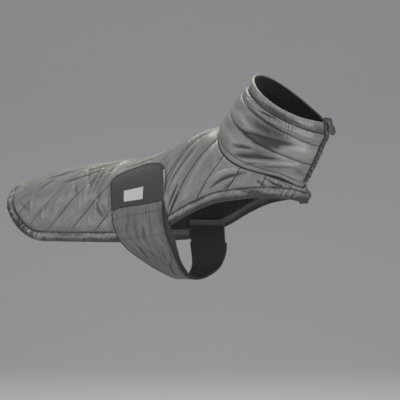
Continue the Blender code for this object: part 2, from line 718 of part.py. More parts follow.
def closure_patch():
    across = column(PATCH_TOP, "across")
    top = column(PATCH_TOP, "along")
    along = top + (PATCH_SEAM - SEAM_SHARE - top) * np.linspace(0, 1, 9)[:, None]
    points, normals = strap_at(along, across)
    wall_from_grid("closure_patch", PATCH, points, normals, 0, PATCH_WALL)

    # piping up the rear edge and round the top, to where the tape begins
    width = strap_spans(True)[2]
    up_and_round = np.append(along[:0:-1, 0], top) * ROW_HEIGHT
    outline = np.stack([up_and_round, np.append(0 * along[1:, 0], across) * width], -1)
    heading = unit(np.gradient(outline, axis=0))
    outward = np.stack([-abs(heading[:, 1]), heading[:, 0] * np.sign(heading[:, 1])], -1)
    outward[:len(along) - 1] = (0, -1)
    reach = np.linspace(STRAP_GAP, STRAP_GAP + PIPING_WIDTH, 3)[:, None]
    strip = outline[:, None] + outward[:, None] * reach
    points, normals = strap_at(strip[..., 0] / ROW_HEIGHT, strip[..., 1] / width)
    wall_from_grid("patch_piping", PIPING, points, normals, 0, PATCH_WALL + 0.4 * MM)

    strap_edge("hook_tape", TAPE, np.linspace(*TAPE_ALONG, 8), True, TAPE_WIDTH, PATCH_WALL - 0.6 * MM)

    points, normals = strap_at(np.linspace(*LABEL_ALONG, 4)[:, None], np.linspace(*LABEL_ACROSS, 5))
    wall_from_grid("label", LABEL, points, normals, PATCH_WALL + GAP, PATCH_WALL + GAP + LABEL_WALL)


def main():
    for obj in list(bpy.data.objects):
        bpy.data.objects.remove(obj)
    bpy.context.scene.collection.children.link(bpy.data.collections.new(COLLECTION))
    back_panel()
    hem_bands()
    collar()
    collar_corner_tab()
    belly_strap()
    closure_patch()


if __name__ == "__main__":
    main()
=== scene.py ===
"""A quilted dog coat: its cloth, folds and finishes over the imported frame, and the stage it is seen on."""
import functools
import math

import bmesh
import bpy
import numpy as np
from bpy.props import FloatProperty, FloatVectorProperty, PointerProperty
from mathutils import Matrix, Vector


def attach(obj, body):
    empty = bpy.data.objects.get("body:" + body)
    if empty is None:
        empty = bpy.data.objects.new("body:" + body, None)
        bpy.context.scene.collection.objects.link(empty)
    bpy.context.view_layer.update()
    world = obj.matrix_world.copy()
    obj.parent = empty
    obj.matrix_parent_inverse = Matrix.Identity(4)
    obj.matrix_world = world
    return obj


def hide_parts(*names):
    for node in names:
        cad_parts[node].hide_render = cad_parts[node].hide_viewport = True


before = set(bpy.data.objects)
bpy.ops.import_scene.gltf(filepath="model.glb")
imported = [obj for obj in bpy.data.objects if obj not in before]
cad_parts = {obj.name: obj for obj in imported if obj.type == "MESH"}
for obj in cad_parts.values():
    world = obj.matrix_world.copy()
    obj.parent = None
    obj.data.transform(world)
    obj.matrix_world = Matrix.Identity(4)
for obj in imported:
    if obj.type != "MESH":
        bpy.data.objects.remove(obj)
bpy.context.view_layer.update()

bl_info = {
    "name": "Dog winter coat",
    "version": (1, 0, 0),
    "blender": (4, 5, 0),
    "location": "3D View > Sidebar > Coat",
    "description": "Sews the coat's pieces over their frame and sets the stage",
    "category": "Object",
}

MM = 0.001
NEAR, FAR = -1, 1               # the side that has the closure, and the other one
GAP = 0.4 * MM                  # what sewn pieces keep between them

# ---------------------------------------------------------------- the figure, as the frame has it
QUILT = 75 * MM                 # from one quilting line to the next, along the panel
LINE_SPACING = QUILT / MM * 0.707       # and square to the lines, in mm
SPINE_GIRTH = 3.5 * QUILT       # flat, from the flank's hem seam up to the spine
STEEPENING = (-0.21, 0.02)      # stations between which the quilting lines grow steeper
STEEPER = 0.45
REAR_FADE = (-0.24, -0.36)      # stations between which the quilting grows shallower
TOP_FADE = (0.11, 0.15)         # girths between which it runs out on top of the back
TOP_GATHERS = (0.10, 0.17)      # and those between which the gathers there set in
STITCH = 3.4                    # mm from one stitch to the next
PUFF_LUMP = 0.055               # the padding is thicker and thinner in lumps of this size
PANEL_WALL = 3.2 * MM
PANEL_GAP = 0.8 * MM            # what the panel keeps from its hem bands
PANEL_SINK = 1.6 * MM           # how far a fold may sink into the wall
LINING_SHADE = 1.3              # how dark the panel's inner face is, as a depth in a fold
EDGE_FADE = 15 * MM             # over this length the padding thins out toward an edge

BAND_WIDTH = 24 * MM
BAND_WALL = 2.4 * MM
BAND_PUFF = 6.5 * MM

REAR_STATION = -0.519
CORNER_LENGTH = 0.132           # the rear corner is a quarter of a superellipse
CORNER_POWER = 2.2
REAR_BAND_END = -0.378
FLANK_BAND_END = -0.010

EGG_STATION = 0.120             # in front of it the figure closes as half an egg
EGG_LENGTH = 0.166
EGG_SPAN = 0.228                # in stations, which go on round the egg
FRONT_STATION = EGG_STATION + EGG_SPAN
NEAR_END = FRONT_STATION + 10 * MM
FAR_END = FRONT_STATION + 16 * MM
LAP_LIFT = 6.5 * MM             # how high the near end rides over the far one
LAP_RISE = (FRONT_STATION - 76 * MM, FRONT_STATION - 18 * MM)   # and between which stations
PADDED_FROM = (FRONT_STATION - 20 * MM, 0.29)   # stations between which the padding sets in
PRESSED_REAR = (-0.196, -0.180)                 # and those where the strap's edges press the panel
PRESSED_FRONT = (0.010, -0.006)

# sections: heights of the spine and of the widest line, and the depth below that line
TORSO = (
    ("station", "spine", "half_width", "waist", "lower_depth"),
    (-0.640, -0.196, 0.070, -0.228, 0.30),
    (-0.600, -0.158, 0.086, -0.214, 0.30),
    (-0.550, -0.126, 0.098, -0.199, 0.30),
    (-0.470, -0.099, 0.110, -0.179, 0.30),
    (-0.419, -0.086, 0.114, -0.169, 0.30),
    (-0.316, -0.071, 0.119, -0.161, 0.30),
    (-0.240, -0.063, 0.121, -0.160, 0.30),
    (-0.118, -0.0455, 0.123, -0.164, 0.28),
    (-0.029, -0.0135, 0.123, -0.174, 0.25),
    (0.000, 0.000, 0.123, -0.1765, 0.24),
    (0.067, 0.016, 0.121, -0.182, 0.22),
    (0.120, 0.008, 0.118, -0.182, 0.20),
)

HEM = (
    ("station", "height"),
    (-0.640, -0.2290),
    (-0.300, -0.2290),
    (-0.160, -0.2280),
    (-0.070, -0.2160),
    (0.000, -0.1885),
    (0.060, -0.1590),
    (0.120, -0.1370),
    (0.180, -0.1270),
    (0.240, -0.1235),
    (0.300, -0.1285),
    (0.348, -0.1370),
    (0.400, -0.1370),
)

# the neck hole seen from above: half its length, half its width, and how much wider it is toward the nape
NECK_CENTRE = 0.1765
NECK_LENGTH = 0.1025
NECK_WIDTH = 0.0910
NECK_SKEW = 0.16

# the collar's stitch lines and its rim; dip is how far they sag between nape and front
RINGS = (
    ("name", "nape_x", "nape_z", "front_x", "front_z", "half_width", "dip"),
    ("lower_stitch", 0.1090, 0.0610, 0.3080, -0.0690, 0.0900, 0.0110),
    ("upper_stitch", 0.1425, 0.0985, 0.3285, -0.0280, 0.0890, 0.0070),
    ("rim_seam", 0.1610, 0.1110, 0.3405, -0.0046, 0.0880, 0.0080),
    ("rim", 0.1716, 0.1385, 0.3380, 0.0220, 0.0860, 0.0130),
)
COLLAR_WALL = 3.0 * MM
COLLAR_PUFF = 5.0 * MM
COLLAR_SINK = 1.8 * MM          # how far a fold may sink into the wall
RIM_PUFF = 3.5 * MM
RIM_SINK = 2.0 * MM
RIM_WIDTH = 25                  # mm, flat
LINING_WALL = 2.5 * MM
LINING_GAP = 1.1 * MM
TAB_WALL = 2.2 * MM
# the corner's outline as it curls forward, from its foot over the top
TAB_CURL = (
    ("x", "z"),
    (0.3401, 0.0040),
    (0.3397, 0.0220),
    (0.3404, 0.0330),
    (0.3466, 0.0340),
    (0.3496, 0.0230),
    (0.3556, 0.0110),
    (0.3566, 0.0020),
    (0.3516, -0.0050),
)
TAB_SIDES = (0.000, 0.034)
TAB_BEND = 0.014                # beyond it the curl turns back and droops, by these shares of the way
TAB_TURN = 0.25
TAB_DROOP = 0.10
NEAR_CLOSING = math.radians(182)
FAR_CLOSING = math.radians(196)
COLLAR_LAP_LIFT = 6.0 * MM
LAP_SEAM_RISE = 5.0 * MM
BINDING_WIDTH = 9 * MM
BINDING_LAP = 12 * MM           # how far the binding reaches over the shell

# the strap's sections below the hem; those on the panel give angle and slant in degrees, and lift in mm
STRAP_BELOW = (
    ("name", "y", "z", "rear_x", "front_x"),
    ("near_low", -0.1220, -0.2680, -0.1175, 0.0060),
    ("near_side", -0.1020, -0.2930, -0.0910, 0.0050),
    ("near_belly", -0.0720, -0.3170, -0.0670, -0.0020),
    ("belly_edge", -0.0360, -0.3330, -0.0560, -0.0100),
    ("belly", 0.0000, -0.3390, -0.0560, -0.0090),
    ("far_belly", 0.0400, -0.3320, -0.0610, -0.0040),
    ("far_side", 0.0800, -0.3100, -0.0760, 0.0020),
    ("far_low", 0.1040, -0.2760, -0.0960, 0.0010),
    ("far_hem", 0.1130, -0.2400, -0.1080, -0.0060),
    ("far_end", 0.1150, -0.2000, -0.1120, -0.0100),
)
STRAP_ON_PANEL = (
    ("angle", "slant", "lift", "rear_x", "front_x"),
    (46.0, 12.0, 8.6, -0.1720, -0.0400),
    (58.0, 12.0, 8.2, -0.1720, -0.0320),
    (72.0, 11.0, 8.0, -0.1640, -0.0185),
    (86.0, 12.0, 8.0, -0.1600, -0.0160),
    (95.0, 7.0, 9.2, -0.1570, -0.0150),
    (101.0, 2.0, 10.6, -0.1490, -0.0090),
    (106.5, 0.0, 11.4, -0.1380, -0.0005),
)
# how far the backing reaches past the strap's front edge at each section, in strap widths
LAYER_REACH = (0, 0, 0.01, 0.02, 0.10, 0.165, 0.18, 0.155, 0.14, 0.22, 0.25, 0.20, 0.12, 0.08, 0.05, 0.03, 0)
# the patch's outline over the strap: across in strap widths, along in sections
PATCH_TOP = (
    ("across", "along"),
    (0.00, 0.95),
    (0.03, 0.62),
    (0.09, 0.36),
    (0.25, 0.14),
    (0.50, 0.10),
    (0.68, 0.22),
    (0.82, 0.48),
    (0.92, 0.78),
    (0.98, 1.06),
    (1.00, 1.30),
)
PATCH_SEAM = 3.2
LABEL_ALONG = (2.02, 2.85)
LABEL_ACROSS = (0.25, 0.625)
TAPE_ALONG = (1.35, 2.75)
STRAP_WALL = 2.0 * MM
STRAP_LINING_WALL = 1.5 * MM
PATCH_WALL = 2.4 * MM
LABEL_WALL = 1.2 * MM
PIPING_WIDTH = 3.2 * MM
CORD_RISE = 0.6 * MM            # how far piping stands over what it edges
CORD_SAMPLES = 5                # points across it
TAPE_WIDTH = 3.6 * MM
TAPE_DROP = 0.6 * MM            # how far the tape lies below the patch
STRAP_WIDTH = 138 * MM
ROW_HEIGHT = 25 * MM            # from one section of the strap to the next
STRAP_GAP = 0.6 * MM
SEAM_SHARE = 0.03               # what patch and strap keep between them, in sections
STRAP_END = len(LAYER_REACH) - 1
STRAP_STEP = (STRAP_END - PATCH_SEAM) / 36      # the backing and the cords end whole steps short of it

# ---------------------------------------------------------------- folds, placed one by one
# The panel's folds run from one place of the flat cloth to another, in mm: station, then girth from the
# hem seam.
PANEL_FOLDS = (
    ("from_station", "from_girth", "to_station", "to_girth", "height", "half_width", "bow"),
    # the pull from the strap's front edge to the nape
    (-14, 80, 46, 196, -5.2, 2.4, 0),
    (44, 188, 66, 214, -3.6, 2.4, 0),
    (-2, 86, 44, 176, 2.0, 3.0, 0),
    (-8, 66, 44, 148, -4.0, 2.3, 0),
    (6, 60, 60, 150, 1.6, 4.5, 0),
    (-5, 14, 22, 66, -4.6, 2.4, 0),
    (-2, -2, 30, 44, -4.8, 2.4, 0),
    (-37, 142, -34, 166, -3.2, 2.4, 0),
    (-23, 128, -24, 156, -3.2, 2.4, 0),
    # and those its rear edge presses into the flank
    (-214, 80, -186, 33, -2.8, 3.4, 4),
    (-192, 70, -180, 36, -3.2, 2.8, 0),
    (-177, 100, -175, 60, -4.4, 3.0, 0),
    (-236, 40, -236, 18, 1.2, 3.0, 0),
    # folds below the neck seam
    (104, 40, 184, 56, 4.4, 4.5, -2),
    (112, 16, 194, 43, -4.6, 4.5, -7),
    (164, 48, 206, 52, 2.2, 6.0, 0),
    (144, 4, 164, 25, -3.6, 2.8, 0),
    (120, 90, 140, 110, -1.6, 5.0, 0),
    (60, 60, 100, 150, 1.4, 8.0, 0),
    # ruffles over the shoulder band, toward the lap
    (218, 18, 238, 2, -4.6, 2.8, 0),
    (228, 24, 250, 8, 3.0, 3.0, 0),
    (236, 26, 284, 0, -4.8, 3.0, 4),
    (250, 27, 274, 12, 3.0, 2.8, 0),
    (266, 14, 280, 2, -4.0, 2.6, 0),
    (276, 14, 292, 2, 3.0, 2.4, 0),
    (282, 8, 298, -2, -4.6, 2.6, 0),
    (296, 12, 306, -2, -4.0, 2.6, 0),
    (306, 14, 318, 0, 3.0, 2.6, 0),
    (318, 14, 328, 0, -3.4, 2.6, 0),
    # behind the strap
    (-274, 178, -240, 118, -2.2, 5.0, 0),
    (-238, 168, -236, 112, -2.4, 4.5, 0),
    (-226, 184, -220, 100, -2.6, 4.5, 0),
    (-203, 180, -200, 140, -2.6, 4.0, 0),
    (-204, 150, -206, 70, -1.6, 9.0, 0),
    (-218, 110, -214, 66, 2.0, 4.0, 0),
    (-252, 150, -246, 80, 2.0, 5.0, 0),
    # along the top of the back
    (-374, 144, -270, 190, 3.4, 4.5, 8),
    (-334, 134, -230, 170, -3.2, 4.0, 0),
    (-394, 158, -326, 190, -3.0, 4.5, 0),
    (-406, 120, -356, 156, -2.8, 4.0, -3),
    (-448, 182, -415, 222, -2.4, 4.0, -5),
    (-301, 134, -286, 103, 1.2, 3.5, 0),
    (-286, 126, -276, 102, -1.6, 3.5, 0),
    (-302, 110, -280, 84, 1.0, 3.5, 0),
    (-300, 196, -210, 226, 2.4, 6.0, 6),
    (-290, 180, -200, 208, -2.6, 4.5, 6),
    (-160, 172, -40, 187, -3.4, 3.5, -6),
    (-150, 184, -60, 200, 2.4, 5.0, -4),
    (-180, 214, -100, 244, -2.4, 5.0, 5),
    (-90, 200, -10, 232, -2.4, 5.0, 0),
    # the rear flank
    (-421, 114, -423, 52, 1.2, 4.0, 0),
    (-430, 100, -432, 60, -0.7, 5.0, 0),
    (-383, 72, -387, 34, 1.1, 4.0, 0),
    (-392, 60, -396, 34, -0.7, 5.0, 0),
    (-263, 98, -264, 54, 1.2, 3.5, 0),
    (-486, 40, -478, 84, -1.2, 4.0, 0),
    (-466, 88, -436, 66, -1.4, 4.0, 0),
    (-356, 30, -330, 66, 0.9, 8.0, 0),
)
NEAR_ONLY_FOLDS = 13            # the first ones belong to the strap and aren't repeated on the far side

# The collar's folds run from one (angle, level) to another: angle in degrees from the nape over the near
# side, height in mm, half width in levels.
COLLAR_FOLDS = (
    ("from_angle", "from_level", "to_angle", "to_level", "height", "half_width"),
    (70, 0.45, 95, 0.72, -4.2, 0.045),
    (76, 0.40, 99, 0.68, 1.8, 0.045),
    (78, 0.24, 124, 0.76, -5.4, 0.070),
    (82, 0.40, 116, 0.86, -1.6, 0.130),
    (88, 0.84, 98, 0.74, 2.6, 0.040),
    (84, 0.14, 120, 0.54, 1.4, 0.065),
    (92, 0.08, 106, 0.30, -3.0, 0.045),
    (112, 0.24, 148, 0.64, -2.2, 0.060),
    (116, 0.44, 150, 0.80, 2.2, 0.100),
    (150, 0.60, 174, 0.50, -1.8, 0.090),
    (128, 0.20, 170, 0.32, 1.4, 0.120),
    (36, 0.50, 72, 0.60, 1.6, 0.140),
    (78, 1.02, 134, 1.60, -6.0, 0.105),
    (90, 1.04, 129, 1.34, -4.0, 0.150),
    (122, 1.26, 172, 1.60, 4.2, 0.240),
    (70, 1.60, 128, 1.78, -3.0, 0.260),
    (40, 1.25, 76, 1.45, 1.8, 0.160),
    (76, 2.14, 92, 2.34, 2.8, 0.070),
    (78, 2.40, 102, 2.78, -3.6, 0.090),
    (96, 2.24, 128, 2.46, 1.6, 0.110),
    (122, 2.40, 164, 2.60, 1.6, 0.160),
    (50, 2.40, 72, 2.60, 1.6, 0.120),
    (66, 3.16, 130, 3.24, -5.6, 0.190),
    (74, 3.44, 124, 3.60, -1.8, 0.200),
)
FAR_FOLD_SHIFT = 9              # degrees the far side's folds sit farther round
COLLAR_TURN = 0.095             # metres of the collar's flat cloth for each radian round it
COLLAR_LEVEL = 0.042            # and for each level up it
DEGREE_LENGTH = 1.65            # mm of its gathers' run for each degree round it

# The strap's creases run up and down it, from one section to another; upper and lower say where across it
# they lie, in strap widths.
STRAP_CREASES = (
    ("from_section", "to_section", "upper", "lower", "height", "half_width"),
    (3.5, 4.9, 0.31, 0.28, -1.4, 2.2),
    (4.3, 5.6, 0.26, 0.19, -1.6, 2.2),
    (4.0, 5.9, 0.43, 0.40, -1.0, 2.6),
    (4.8, 6.0, 0.59, 0.52, -2.2, 2.2),
    (4.2, 6.4, 0.66, 0.62, 1.0, 4.0),
    (3.6, 5.4, 0.74, 0.72, -0.9, 3.0),
    (4.0, 4.8, 0.96, 0.96, -1.6, 2.5),
    (6.7, 8.0, 0.31, 0.20, -2.6, 3.4),
    (6.9, 8.0, 0.49, 0.46, -2.2, 3.0),
    (6.4, 7.6, 0.60, 0.60, 1.2, 4.0),
    (7.2, 8.0, 0.74, 0.73, -1.6, 3.0),
    (8.0, 9.9, 0.84, 0.40, -3.2, 4.5),
    (7.0, 7.8, 0.93, 0.93, -1.5, 3.0),
    (10.5, 12.5, 0.35, 0.55, -1.8, 4.0),
    (12.0, 14.5, 0.70, 0.60, -1.8, 3.5),
)
STRAP_SEAMS = ((3.80, 3.84), (6.05, 5.36))      # sections at the strap's rear and front edge

# where the stitch lines pull the collar's cloth into gathers; height and reach in mm
GATHERS = (
    ("from_angle", "to_angle", "level", "height", "reach"),
    (60, 125, 1.0, 0.8, 6.0),
    (-200, 200, 1.0, 0.7, 5.0),
    (82, 128, 2.0, 1.3, 9.0),
    (-200, 200, 2.0, 0.7, 5.0),
    (90, 132, 2.5, 3.4, 10.0),
    (60, 150, 3.0, 0.9, 6.0),
    (-200, 200, 3.0, 0.6, 5.0),
)


# ---------------------------------------------------------------- curves through table rows
def column(table, name):
    """One named column of a table."""
    index = table[0].index(name)
    return np.array([row[index] for row in table[1:]], float)


def smooth(at, knots, values):
    """Cubic curve through the knots that does not overshoot them. values may have more columns."""
    knots, values = np.asarray(knots, float), np.asarray(values, float)
    steps = np.diff(knots).reshape((-1,) + (1,) * (values.ndim - 1))
    slopes = np.diff(values, axis=0) / steps
    tangents = np.zeros_like(values)
    tangents[0], tangents[-1] = slopes[0], slopes[-1]
    mean = (slopes[:-1] * steps[1:] + slopes[1:] * steps[:-1]) / (steps[:-1] + steps[1:])
    limit = 3 * np.minimum(abs(slopes[:-1]), abs(slopes[1:]))
    same_way = slopes[:-1] * slopes[1:] > 0
    tangents[1:-1] = np.where(same_way, np.sign(mean) * np.minimum(abs(mean), limit), 0)
    at = np.clip(at, knots[0], knots[-1])
    i = np.clip(np.searchsorted(knots, at) - 1, 0, len(knots) - 2)
    h = knots[i + 1] - knots[i]
    u = (at - knots[i]) / h
    extra = (1,) * (values.ndim - 1)
    h, u = h.reshape(h.shape + extra), u.reshape(u.shape + extra)
    return (values[i] * (1 + 2 * u) * (1 - u) ** 2 + tangents[i] * h * u * (1 - u) ** 2
            + values[i + 1] * u * u * (3 - 2 * u) + tangents[i + 1] * h * u * u * (u - 1))


def torso(name, station):
    return smooth(station, column(TORSO, "station"), column(TORSO, name))


def ramp(value, start, end):
    """0 at start, 1 at end, smooth between."""
    u = np.clip((value - start) / (end - start), 0, 1)
    return u * u * (3 - 2 * u)


def ridge(value, at, half_width):
    """1 at one place, dying away to both sides of it."""
    return np.exp(-((value - at) / half_width) ** 2)


def arch(share, power=1.0):
    """0 at whole numbers, 1 halfway between them; the lower the power, the fuller."""
    return abs(np.sin(math.pi * share)) ** power


def unit(vectors):
    return vectors / np.maximum(np.linalg.norm(vectors, axis=-1, keepdims=True), 1e-12)


def running_length(points):
    """The way along a path up to each of its points."""
    return np.concatenate([[0], np.cumsum(np.linalg.norm(np.diff(points, axis=0), axis=1))])


once = functools.lru_cache(maxsize=None)


@once
def lattice(seed):
    return np.random.default_rng(seed).uniform(-1, 1, (64, 64))


def uneven(x, y, seed):
    """Smooth chance field from -1 to 1, its lumps about one unit long. Each seed has its own field."""
    x, y = np.broadcast_arrays(np.asarray(x, float), np.asarray(y, float))
    i, j = np.floor(x).astype(int), np.floor(y).astype(int)
    u, v = ramp(x - i, 0, 1), ramp(y - j, 0, 1)
    table = lattice(seed)
    low = table[i % 64, j % 64] * (1 - u) + table[(i + 1) % 64, j % 64] * u
    high = table[i % 64, (j + 1) % 64] * (1 - u) + table[(i + 1) % 64, (j + 1) % 64] * u
    return low * (1 - v) + high * v


# ---------------------------------------------------------------- the figure
def figure(station, angle, side):
    """Points of the figure's surface. angle is 0 at the spine and 90 degrees at the widest line."""
    station, angle = np.broadcast_arrays(np.asarray(station, float), np.asarray(angle, float))
    row = np.minimum(station, EGG_STATION)
    waist = torso("waist", row)
    above = torso("spine", row) - waist
    below = torso("lower_depth", row)
    turn = np.maximum(station - EGG_STATION, 0) / EGG_SPAN * math.pi / 2
    reach = np.sin(angle)
    x = row + EGG_LENGTH * np.sin(turn) * reach
    y = side * torso("half_width", row) * np.cos(turn) * reach
    z = waist + np.where(angle < math.pi / 2, above, below) * np.cos(angle)
    return np.stack([x, y, z], -1)


def figure_normal(station, angle, side):
    """Outward unit normals of the figure, by differences."""
    nudge = 1e-4
    angle = np.maximum(angle, 2 * nudge)
    along = figure(station + nudge, angle, side) - figure(station - nudge, angle, side)
    down = figure(station, angle + nudge, side) - figure(station, angle - nudge, side)
    return unit(np.cross(along, down) * side)


def neck_distance(points):
    """About how far points lie outside the neck hole, seen from above; negative inside it."""
    toward_nape = np.clip((NECK_CENTRE - points[..., 0]) / NECK_LENGTH, -1, 1)
    half = NECK_WIDTH * (1 + NECK_SKEW * toward_nape)
    reach = np.hypot((points[..., 0] - NECK_CENTRE) / NECK_LENGTH, points[..., 1] / half)
    return (reach - 1) * NECK_WIDTH


class Row:
    """One row of the flat panel, from below its hem seam up to the spine, with girth 0 at the seam."""

    def __init__(self, station):
        self.angles = np.linspace(math.radians(165), 0, 600)
        points = figure(station, self.angles, NEAR)
        length = running_length(points)
        seam = smooth(station, column(HEM, "station"), column(HEM, "height"))
        girth = length - np.interp(seam, points[:, 2], length)
        before_nape = station <= NECK_CENTRE - NECK_LENGTH
        self.stretch = SPINE_GIRTH / girth[-1] if before_nape else nape_stretch()
        self.girths = girth * self.stretch
        self.top = self.girths[-1]
        distance = neck_distance(points)
        crosses = (distance < 0) & (points[:, 2] > seam)
        self.reaches_spine = not crosses.any()
        if crosses.any():
            last = np.argmax(crosses)
            self.top = np.interp(0, -distance[last - 1:last + 1], self.girths[last - 1:last + 1])


@once
def exact_row(station):
    return Row(station)


def row_at(station):
    return exact_row(round(float(station), 6))


@once
def nape_stretch():
    return Row(NECK_CENTRE - NECK_LENGTH).stretch


def on_figure(station, girth, side):
    """Points and normals of the figure at flat places of the panel."""
    station, girth = np.broadcast_arrays(np.asarray(station, float), np.asarray(girth, float))
    rounded = np.round(station, 6)
    angle = np.zeros(station.shape)
    for place in np.unique(rounded):
        row, here = row_at(place), rounded == place
        angle[here] = np.interp(girth[here], row.girths, row.angles)
    return figure(station, angle, side), figure_normal(station, angle, side)


# ---------------------------------------------------------------- meshes
SHARP_ANGLE = math.radians(58)


def add_object(name, data):
    """A new object in the scene."""
    made = bpy.data.objects.new(name, data)
    bpy.context.scene.collection.objects.link(made)
    return made


def grid_faces(rows, columns):
    """Quads of a grid of points."""
    return [(i * columns + j, (i + 1) * columns + j, (i + 1) * columns + j + 1, i * columns + j + 1)
            for i in range(rows - 1) for j in range(columns - 1)]


def grid_normals(points):
    """Unit normals of a grid of points, by differences: along its rows, then across."""
    return unit(np.cross(np.gradient(points, axis=0), np.gradient(points, axis=1)))


def open_edges(faces):
    """The edges that only one face has, each in that face's direction."""
    directed = {(a, b) for face in faces for a, b in zip(face, face[1:] + face[:1])}
    return [edge for edge in directed if edge[::-1] not in directed]


def close_wall(inner, outer, faces):
    """Points and faces of the closed wall between an inner and an outer copy of one open surface."""
    count = len(inner)
    rim = [(b, a, a + count, b + count) for a, b in open_edges(faces)]
    back = [tuple(reversed(face)) for face in faces]
    front = [tuple(v + count for v in face) for face in faces]
    return np.concatenate([inner, outer]), back + front + sorted(rim)


def painted_fold_shade(height, deepest=4.2):
    """How much painted shade a place gets for lying in a fold: 1 at the bottom, below 0 on a ridge, where it
    is a painted highlight. height is in mm.
    """
    return np.clip(-height / deepest, -0.4, 1)


def make_piece(name, points, faces, flat, material, slot, replaced, depth):
    """A piece of the coat: a smooth mesh with its place on the flat cloth as a map, on the coat's body.
    depth says how deep each point lies in a fold; the materials paint it in as shade, and on ridges as
    highlight."""
    mesh = bpy.data.meshes.new(name)
    mesh.from_pydata([tuple(p) for p in points], [], faces)
    layer = mesh.uv_layers.new(name="cloth")
    corners = np.zeros(len(mesh.loops), np.int32)
    mesh.loops.foreach_get("vertex_index", corners)
    layer.data.foreach_set("uv", np.asarray(flat, np.float32)[corners].ravel())
    bm = bmesh.new()
    bm.from_mesh(mesh)
    bmesh.ops.recalc_face_normals(bm, faces=bm.faces)
    bm.to_mesh(mesh)
    bm.free()
    # painted shade in folds and painted highlight on ridges, and on the panel's inner face its lining's
    # darkness
    folds = mesh.attributes.new("painted_shade_and_lining", "FLOAT", "POINT")
    folds.data.foreach_set("value", np.asarray(depth, np.float32))
    mesh.materials.append(material)
    mesh.shade_smooth()
    mesh.set_sharp_from_angle(angle=SHARP_ANGLE)
    piece = add_object(name, mesh)
    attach(piece, "root")
    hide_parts(*replaced)
    return piece


def wall_piece(name, points, normals, inner, outer, flat, material, slot, replaced, depth=0):
    """Closed wall over a grid of points: inner and outer are distances along the normals, flat the grid's
    two flat coordinates. depth says how deep the outer face lies in its folds, which is painted in as shade."""
    size = points.shape[:2]
    inner, outer, depth, *flat = (np.broadcast_to(each, size) for each in (inner, outer, depth, *flat))
    inside = (points + normals * inner[..., None]).reshape(-1, 3)
    outside = (points + normals * outer[..., None]).reshape(-1, 3)
    closed = close_wall(inside, outside, grid_faces(*size))
    flat = np.concatenate([np.stack(flat, -1).reshape(-1, 2)] * 2)
    depth = np.concatenate([0 * depth.ravel(), depth.ravel()])
    return make_piece(name, *closed, flat, material, slot, replaced, depth)


def rim_loop(faces):
    """The open edge of a surface, as vertices in order from vertex 0."""
    after = dict(open_edges(faces))
    loop = [0]
    while after[loop[-1]] != 0:
        loop.append(after[loop[-1]])
    return loop


def loop_shares(loop, flat):
    """How far round the loop each of its vertices lies, from 0 to 1."""
    length = running_length(flat[loop + loop[:1]])
    return length / length[-1]


def join_loops(first, second, first_shares, second_shares):
    """Triangles between two loops whose vertices don't match."""
    faces = []
    a = b = 0
    while a < len(first) or b < len(second):
        take_first = b == len(second) or (a < len(first) and first_shares[a + 1] <= second_shares[b + 1])
        here, there = first[a % len(first)], second[b % len(second)]
        if take_first:
            faces.append((here, first[(a + 1) % len(first)], there))
            a += 1
        else:
            faces.append((here, second[(b + 1) % len(second)], there))
            b += 1
    return faces


# ---------------------------------------------------------------- materials
class Signal:
    """A number inside a material, so that its maths reads as an expression."""

    def __init__(self, cloth, socket):
        self.cloth, self.socket = cloth, socket

    def __add__(self, other):
        return self.cloth.number("ADD", self, other)

    def __sub__(self, other):
        return self.cloth.number("SUBTRACT", self, other)

    def __rsub__(self, other):
        return self.cloth.number("SUBTRACT", other, self)

    def __mul__(self, other):
        return self.cloth.number("MULTIPLY", self, other)

    def __truediv__(self, other):
        return self.cloth.number("DIVIDE", self, other)

    def __pow__(self, other):
        return self.cloth.number("POWER", self, other)

    __radd__ = __add__
    __rmul__ = __mul__

    def sine(self):
        return self.cloth.number("SINE", self)

    def size(self):
        return self.cloth.number("ABSOLUTE", self)

    def to_line(self):
        """Distance to the nearest whole number."""
        return (self - self.cloth.number("ROUND", self)).size()

    def near(self, width):
        """1 where the number is 0, dying away over the width."""
        return self.cloth.number("EXPONENT", (self / width) ** 2 * -1)

    def ramp(self, start, end):
        """0 at start, 1 at end, smooth between."""
        return self.cloth.between(self, start, end)


